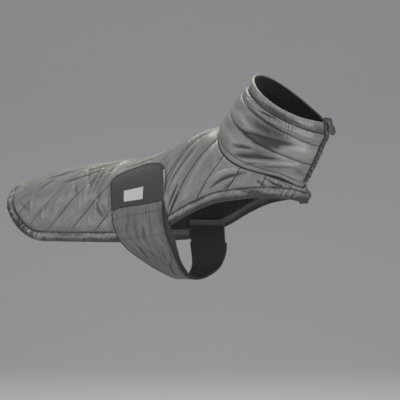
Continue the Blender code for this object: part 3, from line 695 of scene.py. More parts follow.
class Finish:
    """One material and its nodes."""

    def __init__(self, name, colour, roughness):
        self.material = bpy.data.materials.new(name)
        self.material.use_nodes = True
        self.tree = self.material.node_tree
        self.shader = self.tree.nodes["Principled BSDF"]
        self.colour = tuple(colour)
        self.set("Base Color", (*self.colour, 1))
        self.set("Roughness", roughness)

    def set(self, socket, value):
        self.feed(self.shader.inputs[socket], value)

    def feed(self, socket, value):
        source = getattr(value, "socket", value)
        if isinstance(source, bpy.types.NodeSocket):
            self.tree.links.new(source, socket)
        else:
            socket.default_value = source

    def node(self, kind, settings=(), sockets=()):
        """A node of that kind: settings first, then its sockets' values or links."""
        made = self.tree.nodes.new(kind)
        for name, value in dict(settings).items():
            setattr(made, name, value)
        for name, value in dict(sockets).items():
            self.feed(made.inputs[name], value)
        return made

    def number(self, operation, *values):
        made = self.node("ShaderNodeMath", {"operation": operation}, enumerate(values))
        return Signal(self, made.outputs[0])

    def between(self, value, start, end):
        made = self.node("ShaderNodeMapRange", {"interpolation_type": "SMOOTHSTEP"},
                         {"Value": value, "From Min": start, "From Max": end})
        return Signal(self, made.outputs["Result"])

    def vector(self, x, y):
        return self.node("ShaderNodeCombineXYZ", sockets={"X": x, "Y": y}).outputs["Vector"]

    def place(self):
        """The point on the coat, in metres."""
        return self.node("ShaderNodeTexCoord").outputs["Object"]

    def painted_shade_and_lining(self):
        """The painted shade the mesh carries: 1 at the bottom of a fold, below 0 on a ridge, where it is a
        painted highlight; on the panel's inner face, its lining's darkness.
        """
        made = self.node("ShaderNodeAttribute", {"attribute_name": "painted_shade_and_lining"})
        return Signal(self, made.outputs["Fac"])

    def creases(self, vector, scale):
        """Sharp valleys of a crumpled cloth: 0 in them, up to about 0.3 between."""
        return (self.noise(vector, scale, 1.5, 0.5, 0.6) - 0.5).size()

    def flat(self):
        """The place on the flat cloth: two numbers, in metres, along it and across it."""
        split = self.node("ShaderNodeSeparateXYZ", sockets={"Vector": self.flat_vector()})
        return Signal(self, split.outputs["X"]), Signal(self, split.outputs["Y"])

    def flat_vector(self):
        return self.node("ShaderNodeUVMap", {"uv_map": "cloth"}).outputs["UV"]

    def stretched(self, vector, scale):
        made = self.node("ShaderNodeVectorMath", {"operation": "MULTIPLY"}, {0: vector, 1: scale})
        return made.outputs["Vector"]

    def noise(self, vector, scale, detail=2.0, roughness=0.5, distortion=0.0):
        made = self.node("ShaderNodeTexNoise", {"noise_dimensions": "3D"},
                         {"Vector": vector, "Scale": scale, "Detail": detail, "Roughness": roughness,
                          "Distortion": distortion})
        return Signal(self, made.outputs["Fac"])

    def blend(self, factor, first, second):
        made = self.node("ShaderNodeMix", {"data_type": "RGBA", "clamp_factor": True}, {"Factor": factor})
        self.feed(made.inputs[6], (*first, 1))
        self.feed(made.inputs[7], (*second, 1))
        return made.outputs[2]

    def tint(self, factor, dark, light):
        """The colour, from dark times itself to light times itself."""
        ends = ([c * times for c in self.colour] for times in (dark, light))
        self.set("Base Color", self.blend(factor, *ends))

    def relief(self, height, strength):
        """Bump of that height in mm."""
        made = self.node("ShaderNodeBump", sockets={"Strength": strength, "Distance": MM, "Height": height})
        self.set("Normal", made.outputs["Normal"])


def colours():
    return bpy.context.scene.coat_colours


def sizes():
    return bpy.context.scene.coat_sizes


def nylon(name, stitched):
    """Satin woven nylon: a little uneven in tone, with the creases that are too fine for the mesh and painted
    shade in them.
    stitched gives the painted shade of its seams from 0 to 1, below 0 a painted highlight, their relief in
    mm, and its creases' direction."""
    cloth = Finish(name, colours().shell, 0.4)
    place = cloth.place()
    seam, relief, along = stitched(cloth)
    tone = cloth.noise(place, 14, 3)
    creased = cloth.creases(along, 40)
    crumpled = creased * 3.0 + cloth.creases(place, 95) * 0.9
    # random tone, with painted shade in the fine creases, the seams and the folds, and painted highlight on
    # the folds' ridges and beside some seams
    shade = tone * 0.5 + creased * 0.8 + 0.36 - seam * 0.8 - cloth.painted_shade_and_lining() * 0.82
    cloth.tint(shade, 0.16, 1.15)
    cloth.relief(relief + crumpled + cloth.noise(place, 300, 1) * 0.15, 0.7)
    cloth.set("Roughness", tone * 0.16 + 0.34)
    cloth.set("Specular IOR Level", 0.5)
    cloth.set("Sheen Weight", 0.08)
    cloth.set("Sheen Roughness", 0.5)
    return cloth.material


def puckers(cloth, along, distance, period, reach):
    """Small gathers beside a stitch line, in units of their height. All lengths in mm."""
    drift = cloth.noise(cloth.vector(along * 0.03, distance * 0.01), 1, 2) * 14
    wave = (along * (2 * math.pi / period) + drift).sine()
    strength = cloth.noise(cloth.vector(along * 0.045, 3), 1, 1).ramp(0.40, 0.62)
    return wave * strength * (distance / reach).near(1)


def panel_stitching(cloth):
    """Painted shade in the quilting's two families of grooves, a painted highlight beside the first family's,
    and painted shade in the hem seam; then their relief and the creases' direction.
    """
    station, across = cloth.flat()
    girth = SPINE_GIRTH - across.size()
    slant = 1 - station.ramp(*STEEPENING) * STEEPER
    first, second = (station - girth * slant) / QUILT, (station + girth * slant) / QUILT
    to_first, to_second = first.to_line() * LINE_SPACING, second.to_line() * LINE_SPACING
    patchy = cloth.noise(cloth.vector(station * 22, across * 22), 1, 1).ramp(0.45, 0.65)
    rear = station.ramp(*REAR_FADE)
    strong = (1 - rear * 0.5) * (1 - rear * girth.ramp(*TOP_FADE) * 0.7) * station.ramp(0.33, 0.29)
    weak = patchy * 0.12
    stitch = (second * (LINE_SPACING * 2 * math.pi / STITCH)).sine() * 0.2 + 0.8
    shoulder = station.ramp(-0.06, 0.0)
    # painted shade in the grooves of both families, broken into dashes by the stitches
    lines = (to_first / (shoulder * 0.45 + 1.0)).near(1.0) * stitch * strong + to_second.near(0.9) * weak
    # a painted highlight beside each groove of the first family
    lines = lines - (to_first - 2.6).near(1.0) * 0.16 * strong
    # painted shade in the hem seam
    hem = (girth / MM).near(2.2)
    relief = to_first.near(1.3) * strong * -0.9 + to_second.near(1.2) * weak * -0.8
    relief = relief + puckers(cloth, second * LINE_SPACING, to_first, 7.5, 9) * 0.4
    relief = relief + puckers(cloth, first * LINE_SPACING, to_second, 7.0, 8) * 0.12
    relief = relief + puckers(cloth, station / MM, girth / MM, 8.0, 12) * 0.7
    painted_shade_and_highlight = lines * (shoulder * 0.3 + 1.2) + hem * 0.9
    return painted_shade_and_highlight, relief, cloth.vector(first * QUILT * 1.2, second * QUILT * 0.35)


def collar_stitching(cloth):
    """Painted shade and relief of the collar's stitch lines, darkest and deepest on the sides of the neck,
    and painted shade along the facing's top stitching.
    """
    around, up = cloth.flat()
    level = up / COLLAR_LEVEL
    turn = (around / COLLAR_TURN).size()
    side = turn.ramp(0.9, 1.4) * turn.ramp(2.3, 1.8)
    waved = level + (cloth.noise(cloth.vector(around * 60, 5), 1, 2) - 0.5) * (side * 0.08 + 0.05)
    to_line = waved.to_line() * COLLAR_LEVEL / MM
    inside = level.ramp(0.5, 0.7)
    # painted shade in the stitch grooves, wider and darker on the sides
    line = (to_line.near(1.1) * 0.8 + to_line.near(2.4) * side * 1.1) * inside
    # painted shade along the facing's stitching above the neck seam
    facing_stitch_shade = ((level - 0.165) * (COLLAR_LEVEL / MM)).near(0.7) * (turn.ramp(0.6, 1.4) * 0.4 + 0.1)
    relief = line * -1.2 + puckers(cloth, around / MM, to_line, 6.0, 9) * inside * (side + 0.4) * 0.4
    return line + facing_stitch_shade, relief, cloth.vector(around * 0.5, up * 1.5)


def band_stitching(cloth):
    """The hem bands: painted shade along the seam and over the lower half, and a painted highlight a little
    below the seam.
    """
    along, across = cloth.flat()
    # painted shade in the seam and over the band's lower half
    edge = (across / MM).near(2.0) * 0.8 + (across / BAND_WIDTH).ramp(0.3, 0.85) * 0.78
    # a painted highlight below the seam
    light = (across / MM - 5.5).near(3.0) * 0.2
    relief = puckers(cloth, along / MM, across / MM, 7.0, 9) * 0.6
    return edge - light, relief, cloth.vector(along * 1.2, across * 0.8)


@once
def shell_finish():
    return nylon("shell_nylon", panel_stitching)


@once
def collar_finish():
    return nylon("collar_nylon", collar_stitching)


@once
def band_finish():
    return nylon("band_nylon", band_stitching)


@once
def strap_finish():
    cloth = Finish("strap_nylon", colours().strap, 0.55)
    streaks = cloth.noise(cloth.stretched(cloth.flat_vector(), (1, 4, 1)), 60, 3)
    # streaks in the weave, with painted shade in the folds
    cloth.tint(streaks * 1.1 + 0.05 - cloth.painted_shade_and_lining() * 0.9, 0.48, 1.14)
    cloth.relief(streaks * 1.2 + cloth.noise(cloth.place(), 260, 2) * 0.3, 0.7)
    cloth.set("Specular IOR Level", 0.4)
    return cloth.material


@once
def fleece_finish():
    cloth = Finish("fleece", colours().fleece, 0.95)
    place = cloth.place()
    pile = cloth.noise(place, 160, 4, 0.7, 0.4)
    cloth.tint(pile, 0.5, 1.9)
    cloth.relief(pile * 3.0 + cloth.noise(place, 50, 2) * 3.0, 1.0)
    cloth.set("Specular IOR Level", 0.15)
    cloth.set("Sheen Weight", 0.05)
    return cloth.material


@once
def piping_finish():
    cloth = Finish("piping", colours().piping, 0.7)
    cloth.relief(cloth.noise(cloth.place(), 300, 2) * 0.8, 0.8)
    cloth.set("Specular IOR Level", 0.35)
    return cloth.material


@once
def binding_finish():
    cloth = Finish("closing_binding", [c * 0.6 for c in colours().strap], 0.5)
    crumple = cloth.noise(cloth.place(), 150, 2, 0.6)
    # painted light and shade on the crumples, and the painted shade that the mesh carries
    cloth.tint(crumple.ramp(0.36, 0.76) - cloth.painted_shade_and_lining() * 0.8, 0.25, 2.1)
    cloth.relief(crumple * 2.4, 1.0)
    return cloth.material


@once
def patch_finish():
    """Brushed loop fabric, its nap lying up and down."""
    cloth = Finish("brushed_patch", colours().patch, 0.85)
    nap = cloth.noise(cloth.stretched(cloth.flat_vector(), (0.35, 1, 1)), 420, 3, 0.6)
    soft = cloth.noise(cloth.flat_vector(), 40, 2)
    cloth.tint(nap * 0.6 + soft * 0.4, 0.7, 1.3)
    cloth.relief(nap * 0.8 + soft * 0.8, 0.7)
    cloth.set("Sheen Weight", 0.15)
    return cloth.material


@once
def tape_finish():
    """Hook tape, darker over its lower part."""
    cloth = Finish("hook_tape", colours().tape, 0.5)
    along = cloth.flat()[0]
    cloth.tint((along / ROW_HEIGHT).ramp(2.5, 1.8), 0.35, 1.1)
    cloth.relief(cloth.noise(cloth.place(), 400, 1) * 0.6, 0.6)
    return cloth.material


@once
def label_finish():
    cloth = Finish("woven_label", colours().label, 0.55)
    weave = cloth.noise(cloth.place(), 500, 1)
    cloth.tint(weave, 0.92, 1.05)
    cloth.relief(weave * 0.4, 0.5)
    return cloth.material


# ---------------------------------------------------------------- the quilted back panel
def hem_girth(station):
    """Flat girth of the panel's lower edge: 0 at the flank, rising round the rear corner."""
    share = np.clip((REAR_STATION + CORNER_LENGTH - station) / CORNER_LENGTH, 0, 1)
    return SPINE_GIRTH * (1 - (1 - share ** CORNER_POWER) ** (1 / CORNER_POWER))


def quilt_phases(station, girth):
    """How many quilting lines of each family lie behind a place. They stand steeper toward the shoulder."""
    slant = 1 - STEEPER * ramp(station, *STEEPENING)
    return (station - girth * slant) / QUILT, (station + girth * slant) / QUILT


def line_distance(phase):
    """Distance to the nearest quilting line of a family, in mm."""
    return abs(phase - np.round(phase)) * LINE_SPACING


def under_strap(station, side):
    """1 where the strap presses the near flank flat, 0 away from it."""
    if side == FAR:
        return 0 * station
    return ramp(station, *PRESSED_REAR) * ramp(station, *PRESSED_FRONT)


def lap_lift(station, side):
    """The near end rises over the far end at the chest."""
    if side == FAR:
        return 0 * station
    return LAP_LIFT * ramp(station, *LAP_RISE)


def along_fold(way, length):
    """How far along a fold a place lies, as a share from 0 to 1, and how far past its ends."""
    return np.clip(way, 0, 1), np.maximum(abs(way - 0.5) - 0.5, 0) * length


def fold_heights(rows, x, y):
    """Sum of soft folds that run from place to place, in mm throughout. Below 0 they are troughs."""
    total = 0 * x
    for x0, y0, x1, y1, height, half_width, bow in rows:
        run = np.hypot(x1 - x0, y1 - y0)
        ex, ey = (x1 - x0) / run, (y1 - y0) / run
        share, past = along_fold(((x - x0) * ex + (y - y0) * ey) / run, run)
        side = (x - x0) * ey - (y - y0) * ex - bow * arch(share)
        width = half_width * (0.75 + 0.25 * arch(share))
        fade = ridge(past, 0, half_width) * (0.35 + 0.65 * arch(share, 0.5))
        total = total + height * fade * ridge(side, 0, width)
    return total


def panel_fold_heights(station, girth, side):
    """The near side's folds; on the far side they are moved, weaker and wider."""
    rows = PANEL_FOLDS[1:]
    if side == FAR:
        rows = [(s0 + 14, g0 + 4, s1 + 10, g1 + 2, 0.85 * h, 1.15 * w, -bow)
                for s0, g0, s1, g1, h, w, bow in rows[NEAR_ONLY_FOLDS:]]
    return fold_heights(rows, station / MM, girth / MM)


def gathers(along, distance, period, seed):
    """Small uneven gathers that cross a stitch line, up to 1 high. They don't die away by themselves.
    All in mm."""
    drift = 1.6 * uneven(along / (4 * period), distance / 30, seed)
    drift = drift + 0.9 * uneven(along / (1.7 * period), 0, seed + 1)
    wave = np.sin(2 * math.pi * along / period + 2.2 * drift)
    strength = 0.55 + 0.45 * uneven(along / (3 * period), 7, seed + 2)
    return wave * strength


def line_strength(station, girth):
    """The quilting is shallower toward the rear and runs out on top of the back."""
    rear = ramp(station, *REAR_FADE)
    return (1 - 0.4 * rear) * (1 - 0.7 * rear * ramp(girth, *TOP_FADE))


def panel_puff(station, girth, side):
    """Height of the quilted padding: domes between the first family of lines, and a shallow second one."""
    first, second = quilt_phases(station, girth)
    dome = 1 - line_strength(station, girth) * (1 - arch(first, 0.42))
    puff = sizes().puff * dome * (0.9 + 0.1 * arch(second, 0.5))
    across = (SPINE_GIRTH - girth) * side
    return puff * (1 + 0.16 * uneven(station / PUFF_LUMP, across / PUFF_LUMP, 3))


def panel_gathers(station, girth, to_hem, edge, flat):
    """The panel's small gathers and its cloth's own unrest, in mm. edge fades them out at its edges, and
    flat those at the hem below the strap."""
    first, second = quilt_phases(station, girth)
    top = ramp(girth, *TOP_GATHERS)
    # beside the quilting lines, strongest on top of the back
    line = line_distance(first)
    mask = np.exp(-line / 8.0) * (0.35 + 0.12 * top) * edge
    small = gathers(second * LINE_SPACING, line, 9.6, 11) * mask
    line = line_distance(second)
    mask = np.exp(-line / 16.0) * top * edge
    small = small + 0.28 * gathers(first * LINE_SPACING, line, 9.4, 17) * mask
    # beside the hem seam
    line = to_hem / MM
    mask = np.exp(-line / 10.0) * np.clip(line / 4, 0, 1) * flat
    small = small + 1.6 * gathers(station / MM - 0.25 * girth / MM, line, 10.5, 23) * mask
    # the unrest is long in the quilting's direction
    first, second = first * QUILT, second * QUILT
    small = small + 0.7 * uneven(first / 0.016, second / 0.038, 29) * edge
    return small + 0.35 * top * uneven(first / 0.009, second / 0.034, 31) * edge


def neck_roll(station, points, to_neck):
    """The neck seam's rolled edge with a stitch line behind it, low at the nape, in mm."""
    roll = ridge(to_neck / MM, 3.0, 2.2) * 1.5 - ridge(to_neck / MM, 7.0, 1.3) * 0.9
    nape = ramp(points[..., 0], NECK_CENTRE - 0.05, NECK_CENTRE - 0.09)
    return roll * ramp(station, 0.33, 0.28) * (1 - 0.6 * nape)


def panel_height(station, girth, side, points):
    """Height of the panel's outer face over the figure, and how deep it lies in its folds, which is painted
    in as shade.
    """
    to_hem = np.minimum(girth - hem_girth(station), np.maximum(station - REAR_STATION, 0))
    to_neck = neck_distance(points)
    to_edge = np.minimum(to_hem, to_neck)
    edge = np.clip(to_edge / EDGE_FADE, 0, 1) ** 0.8
    held = np.clip(to_edge / (5 * MM), 0, 1)
    flat = 1 - 0.62 * under_strap(station, side)
    front = ramp(station, *PADDED_FROM)
    # over the withers the cloth is drawn flat
    withers = ramp(girth, 0.18, 0.24) * ramp(station, -0.10, -0.05)
    height = panel_puff(station, girth, side) * edge * flat * front * (1 - 0.8 * withers)
    folds = panel_fold_heights(station, girth, side) * held * flat * (0.4 + 0.6 * front)
    small = panel_gathers(station, girth, to_hem, edge, flat) + 1.1 * folds
    small = small * (1 - 0.65 * withers) + neck_roll(station, points, to_neck)
    # the folds' depth is painted in as shade, and on ridges as highlight
    return PANEL_WALL + np.maximum(height + small * MM, -PANEL_SINK), painted_fold_shade(folds)


TOO_CLOSE = 0.3                 # share of a step: what lies nearer than this to an edge is left out


def steps_between(low, high, step):
    """Both ends and the whole steps between them."""
    inside = np.arange(math.ceil(low / step), math.floor(high / step) + 1) * step
    inside = inside[(inside > low + TOO_CLOSE * step) & (inside < high - TOO_CLOSE * step)]
    return np.array([low, *inside, high])


def panel_row(station, step):
    """Flat girths of one row's points, edges first and last."""
    low = float(hem_girth(station - PANEL_GAP)) + PANEL_GAP
    row = row_at(station)
    return steps_between(low, row.top if row.reaches_spine else row.top - GAP, step)


def zip_rows(first, second, start_first, start_second, step):
    """Faces between two rows of points whose girths differ."""
    faces = []
    a = b = 0
    while a < len(first) - 1 or b < len(second) - 1:
        step_a = a < len(first) - 1
        step_b = b < len(second) - 1
        if step_a and step_b and abs(first[a + 1] - second[b + 1]) < TOO_CLOSE * step:
            faces.append((start_first + a, start_second + b, start_second + b + 1, start_first + a + 1))
            a, b = a + 1, b + 1
        elif step_a and (not step_b or first[a + 1] < second[b + 1]):
            faces.append((start_first + a, start_second + b, start_first + a + 1))
            a += 1
        else:
            faces.append((start_first + a, start_second + b, start_second + b + 1))
            b += 1
    return faces


def panel_layer(step, height):
    """One face of the panel over both sides: points, faces, places on the flat cloth, and depths in its
    folds, painted in as shade.
    """
    points, faces, flat, depths, spine = [], [], [], [], {}
    for side, end in ((NEAR, NEAR_END), (FAR, FAR_END)):
        before = None
        for station in steps_between(REAR_STATION + 2 * PANEL_GAP, end, step):
            girths = panel_row(station, step)
            here, normals = on_figure(station, girths, side)
            offset, depth = height(station, girths, side, here)
            start = len(points)
            points += list(here + normals * (offset + lap_lift(station, side))[:, None])
            depths += depth.tolist()
            flat += [(station, (SPINE_GIRTH - girth) * side) for girth in girths]
            cuts = girths.tolist()
            if before:
                strip = zip_rows(before[1], cuts, before[0], start, step)
                faces += strip if side == NEAR else [face[::-1] for face in strip]
            before = (start, cuts)
            if row_at(station).reaches_spine:
                spine.setdefault(round(float(station), 6), []).append(len(points) - 1)
    doubles = {pair[1]: pair[0] for pair in spine.values() if len(pair) == 2}
    kept = [i for i in range(len(points)) if i not in doubles]
    place = {old: new for new, old in enumerate(kept)}
    place.update({double: place[first] for double, first in doubles.items()})
    faces = [tuple(place[v] for v in face) for face in faces]
    return np.array(points)[kept], faces, np.array(flat)[kept], np.array(depths)[kept]


def on_the_figure(station, girth, *_):
    """The panel's inner face: no height over the figure, and darker all over than the bottom of a fold."""
    return 0 * girth, 0 * girth + LINING_SHADE


def build_back_panel():
    fine = QUILT / 38
    outer, outer_faces, outer_flat, outer_depth = panel_layer(fine, panel_height)
    inner, inner_faces, inner_flat, inner_depth = panel_layer(QUILT / 8, on_the_figure)
    count = len(outer)
    loops = rim_loop(outer_faces), rim_loop(inner_faces)
    shares = loop_shares(loops[0], outer_flat), loop_shares(loops[1], inner_flat)
    rim = join_loops(loops[0], [v + count for v in loops[1]], *shares)
    faces = outer_faces + [tuple(v + count for v in reversed(face)) for face in inner_faces] + rim
    panel = make_piece("back_panel_quilted", np.concatenate([outer, inner]), faces,
                       np.concatenate([outer_flat, inner_flat]), shell_finish(), "shell", ["back_panel"],
                       np.concatenate([outer_depth, inner_depth]))


# ---------------------------------------------------------------- hem bands
def even_path(points, step):
    """The path through the points, cut to even steps."""
    length = running_length(points)
    at = np.linspace(0, length[-1], max(2, round(length[-1] / step) + 1))
    return np.stack([np.interp(at, length, points[:, k]) for k in range(points.shape[1])], -1)


def rear_path(step):
    """Stations and girths round the rear corner, from the rear band's end to the spine."""
    turn = np.linspace(0, math.pi / 2, 240)
    station = REAR_STATION + CORNER_LENGTH * (1 - np.sin(turn) ** (2 / CORNER_POWER))
    girth = SPINE_GIRTH * (1 - np.cos(turn) ** (2 / CORNER_POWER))
    start = np.stack([np.linspace(REAR_BAND_END, station[0], 12)[:-1], np.zeros(11)], -1)
    return even_path(np.concatenate([start, np.stack([station, girth], -1)]), step)


def band_grid(path, side, across):
    """Points and normals of a band's strip below a flat path. Its rows follow the path."""
    stretch = np.array([row_at(station).stretch for station in path[:, 0]])[:, None]
    along = unit(np.gradient(path / np.hstack([np.ones_like(stretch), stretch]), axis=0))
    out = np.stack([-abs(along[:, 1]), -abs(along[:, 0])], -1)
    out[path[:, 1] > SPINE_GIRTH - 1e-6] = (-1, 0)
    across = across * BAND_WIDTH
    station = path[:, :1] + out[:, :1] * across
    girth = np.minimum(path[:, 1:] + out[:, 1:] * across * stretch, SPINE_GIRTH)
    return on_figure(station, girth, side)


BAND_ACROSS = (1 - np.cos(np.linspace(0, math.pi, 17))) / 2


def band_piece(name, points, normals, puff, ripple, length, node, shaded):
    """A padded band over a strip; puff scales its padding along the band, ripple adds gathers in mm.
    shaded adds painted shade to the painted shade of its gathers."""
    bulge = arch(BAND_ACROSS, 0.6) * puff[:, None]
    flat = np.linspace(0, length, len(points))[:, None], BAND_ACROSS * BAND_WIDTH
    inner = GAP - 1.2 * MM * bulge
    outer = GAP + BAND_WALL + BAND_PUFF * bulge + ripple * MM
    # painted shade in the gathers and wherever shaded asks for it
    return wall_piece(name, points, normals, inner, outer, flat, band_finish(), "shell", [node],
                      painted_fold_shade(ripple, 3.2) + shaded)


def build_rear_band():
    step = 1.25
    path = rear_path(step * MM)
    near, near_normals = band_grid(path, NEAR, BAND_ACROSS)
    far, far_normals = band_grid(path, FAR, BAND_ACROSS)
    points = np.concatenate([near, far[-2::-1]])
    normals = np.concatenate([near_normals, far_normals[-2::-1]])
    length = step * (len(points) - 1)
    along = np.linspace(0, length, len(points))[:, None]
    across = BAND_ACROSS * BAND_WIDTH / MM
    ends = ramp(np.minimum(along, length - along), 0, 40)
    # bunched: deep gathers stand close together in some places and far apart in others
    slanted = along + 0.45 * across + 6.0 * uneven(along / 47, across / 13, 46)
    wave = np.sin(math.pi * slanted / 11.5 + 2.8 * uneven(along / 29, across / 60, 42))
    strength = np.clip(0.6 + 0.8 * uneven(along / 23, across / 26, 45), 0.06, 1.2) * ends
    deep = -6.2 * strength * (1 - abs(wave)) ** 1.3 + 1.7 * uneven(along / 10, across / 9, 43)
    ripple = deep * arch(BAND_ACROSS, 0.3)
    puff = 1.0 + 0.10 * uneven(along[:, 0] / 22, 3, 44)
    # painted shade along the seam, patchy
    painted_seam_shade = 0.9 * ridge(across, 0, 3.4) * ends * (1 + 0.5 * uneven(along / 8, 5, 48))
    band = band_piece("rear_band_gathered", points, normals, puff, ripple, length * MM, "rear_hem_band",
                      painted_seam_shade)


def build_straight_band(word, side, name, start, end):
    """A band along a side's hem, flat below the strap and toward the lap."""
    station = steps_between(start, end, 2.4 * MM)
    points, normals = band_grid(np.stack([station, 0 * station], -1), side, BAND_ACROSS)
    points = points + normals * lap_lift(station, side)[:, None, None]
    puff = (1 - 0.45 * under_strap(station, side)) * (1 - 0.6 * ramp(station, *PADDED_FROM[::-1]))
    along, across = station[:, None] / MM, BAND_ACROSS * BAND_WIDTH / MM
    seed = 51 + (side == FAR)
    shoulder = ramp(station, 0.17, 0.22)[:, None]
    ripple = 1.3 * uneven(along / 26, across / 14, seed) + 0.5 * uneven(along / 8, across / 9, seed + 2)
    ripple = ripple + (0.7 + 0.9 * shoulder) * gathers(along + 0.6 * across, across, 14.0, seed + 4)
    # long slanting dents, and a crumpled end
    dent = uneven(along / 30 - across / 24, across / 30, seed + 6)
    crumpled = ramp(along, end / MM - 26, end / MM - 8) if name == "shoulder" else 0 * along
    ripple = ripple - 2.6 * ramp(dent, 0.25, 0.6) + 1.8 * crumpled * uneven(along / 3.5, across / 5, seed + 8)
    ripple = ripple * arch(BAND_ACROSS, 0.5)
    length = float(end - start)
    node = f"{word}_{name}_band"
    # painted shade over the crumpled end, and over the whole shoulder band, which lies under the chest
    shaded = 0.45 * crumpled + (0.12 if name == "shoulder" else 0)
    band = band_piece(node + "_padded", points, normals, puff, ripple, length, node, shaded)


# ---------------------------------------------------------------- the collar
def neck_seam(angle):
    """The neck hole's edge on the figure. angle is 0 at the nape, 90 degrees at the near side."""
    x = NECK_CENTRE - NECK_LENGTH * np.cos(angle)
    y = -NECK_WIDTH * np.sin(angle) * (1 + NECK_SKEW * np.cos(angle))
    row = np.minimum(x, EGG_STATION)
    reach = np.hypot(np.maximum(x - EGG_STATION, 0) / EGG_LENGTH, y / torso("half_width", row))
    waist = torso("waist", row)
    z = waist + (torso("spine", row) - waist) * np.sqrt(np.maximum(1 - reach ** 2, 0))
    return np.stack([x, y, z], -1)


def collar_rings(angle):
    """The neck seam and the rings above it."""
    seam = neck_seam(angle)
    seam[..., 2] += PANEL_WALL + 2 * GAP + LAP_SEAM_RISE * ramp(angle, math.radians(115), math.radians(150))
    rings = [seam]
    share = (1 - np.cos(angle)) / 2
    for _, nape_x, nape_z, front_x, front_z, half_width, dip in RINGS[1:]:
        x = nape_x + (front_x - nape_x) * share
        y = -half_width * np.sin(angle) * (1 + NECK_SKEW * np.cos(angle))
        z = nape_z + (front_z - nape_z) * share - dip * np.sin(angle) ** 2
        rings.append(np.stack([x, y, z], -1))
    return np.array(rings)


def collar_grid(angles, levels):
    """Points and normals of the collar's stitch surface: level 0 is the neck seam, each ring is one more.
    The near end is lifted over the far end."""
    angle, level = np.meshgrid(angles, levels, indexing="ij")
    rings = collar_rings(np.asarray(angles, float))
    points = np.swapaxes(smooth(levels, np.arange(len(rings)), rings), 0, 1)
    normals = grid_normals(points)
    lift = COLLAR_LAP_LIFT * ramp(angle, math.radians(132), math.radians(162))
    return points + normals * lift[..., None], normals, angle, level


def ends_flat(angle):
    """1 over most of the collar, 0 at the lap, where it has no padding."""
    return ramp(np.degrees(angle), 180, 150) * ramp(np.degrees(angle), -176, -150)


def collar_fold_heights(angle, level):
    """Sum of the sweeping folds of both sides, in mm."""
    turn = np.degrees(angle)
    total = 0 * turn
    for mirrored in (False, True):
        for a0, l0, a1, l1, height, half_width in COLLAR_FOLDS[1:]:
            if mirrored:
                a0, a1, height = -a0 - FAR_FOLD_SHIFT, -a1 - 0.7 * FAR_FOLD_SHIFT, 0.9 * height
            share, past = along_fold((turn - a0) / (a1 - a0), abs(a1 - a0))
            width = half_width * (0.7 + 0.3 * arch(share))
            fade = ridge(past, 0, 3.0) * (0.3 + 0.7 * arch(share, 0.5))
            total = total + height * fade * ridge(level, l0 + (l1 - l0) * share, width)
    return total


def collar_gathers(angle, level):
    """Gathers beside the collar's stitch lines, in mm."""
    turn = np.degrees(angle)
    around = turn * DEGREE_LENGTH
    total = 0 * turn
    for k, (start, end, line, height, reach) in enumerate(GATHERS[1:]):
        above = (level - line) * COLLAR_LEVEL / MM
        distance = abs(above)
        mask = ramp(turn, start, start + 12) * ramp(turn, end, end - 12)
        if start > -180:        # a stretch of the near side, repeated weaker on the far one
            mask = mask + 0.8 * ramp(-turn, start + 6, start + 20) * ramp(-turn, end + 6, end - 8)
        wave = gathers(around + 0.25 * above, distance, 5.6 + 0.4 * k, 61 + 3 * k)
        total = total + height * mask * wave * np.exp(-distance / reach) * ramp(distance, 0, 1.6)
    return total


def channel_dome(angle, level):
    """Cross section of the collar's padded channels, 0 on their stitch lines. The upper one is narrow,
    and bulges only over the nape."""
    nape = ramp(abs(np.degrees(angle)), 80, 35)
    upper = 0.62 + 0.75 * nape * ramp(level, 2.0, 2.75)
    return arch(level, 0.5) * np.where(level > 2, upper, 1 + 0.15 * nape)


def build_collar_shell():
    count = 330
    angles = np.linspace(-FAR_CLOSING, NEAR_CLOSING, count)
    # even levels, and more of them close to the stitch lines
    levels = np.concatenate([np.linspace(0, 2.985, 76), [0.14, 0.17, 0.97, 1.03, 1.97, 2.03]])
    levels = np.unique(np.round(levels, 4))
    points, normals, angle, level = collar_grid(angles, levels)
    around, up = angle * COLLAR_TURN, level * COLLAR_LEVEL
    puff = COLLAR_PUFF / MM * channel_dome(angle, level) * (1 + 0.14 * uneven(around / 0.05, up / 0.03, 71))
    # a flat facing along the neck seam, stitched at its top
    facing = ramp(level, 0.13, 0.24)
    below = (1 - ramp(level, 0.10, 0.15)) * 1.6 * arch(np.clip(level / 0.15, 0, 1), 0.6)
    puff = puff * facing + below
    folds = collar_fold_heights(angle, level) * np.clip(facing + 0.2, 0, 1)
    folds = folds + 1.1 * collar_gathers(angle, level)
    small = folds + 0.8 * uneven(around / 0.03, up / 0.009, 73) + 0.3 * uneven(around / 0.012, up / 0.008, 74)
    side_edges = np.minimum(level, 1.0) ** 0.3
    outer = (puff + small * side_edges) * ends_flat(angle) * MM
    # painted shade in the folds, and painted highlight on their ridges
    shell = wall_piece("collar_channels", points, normals, -COLLAR_WALL, np.maximum(outer, -COLLAR_SINK),
                       (around, up), collar_finish(), "shell", ["collar_shell"], painted_fold_shade(folds))


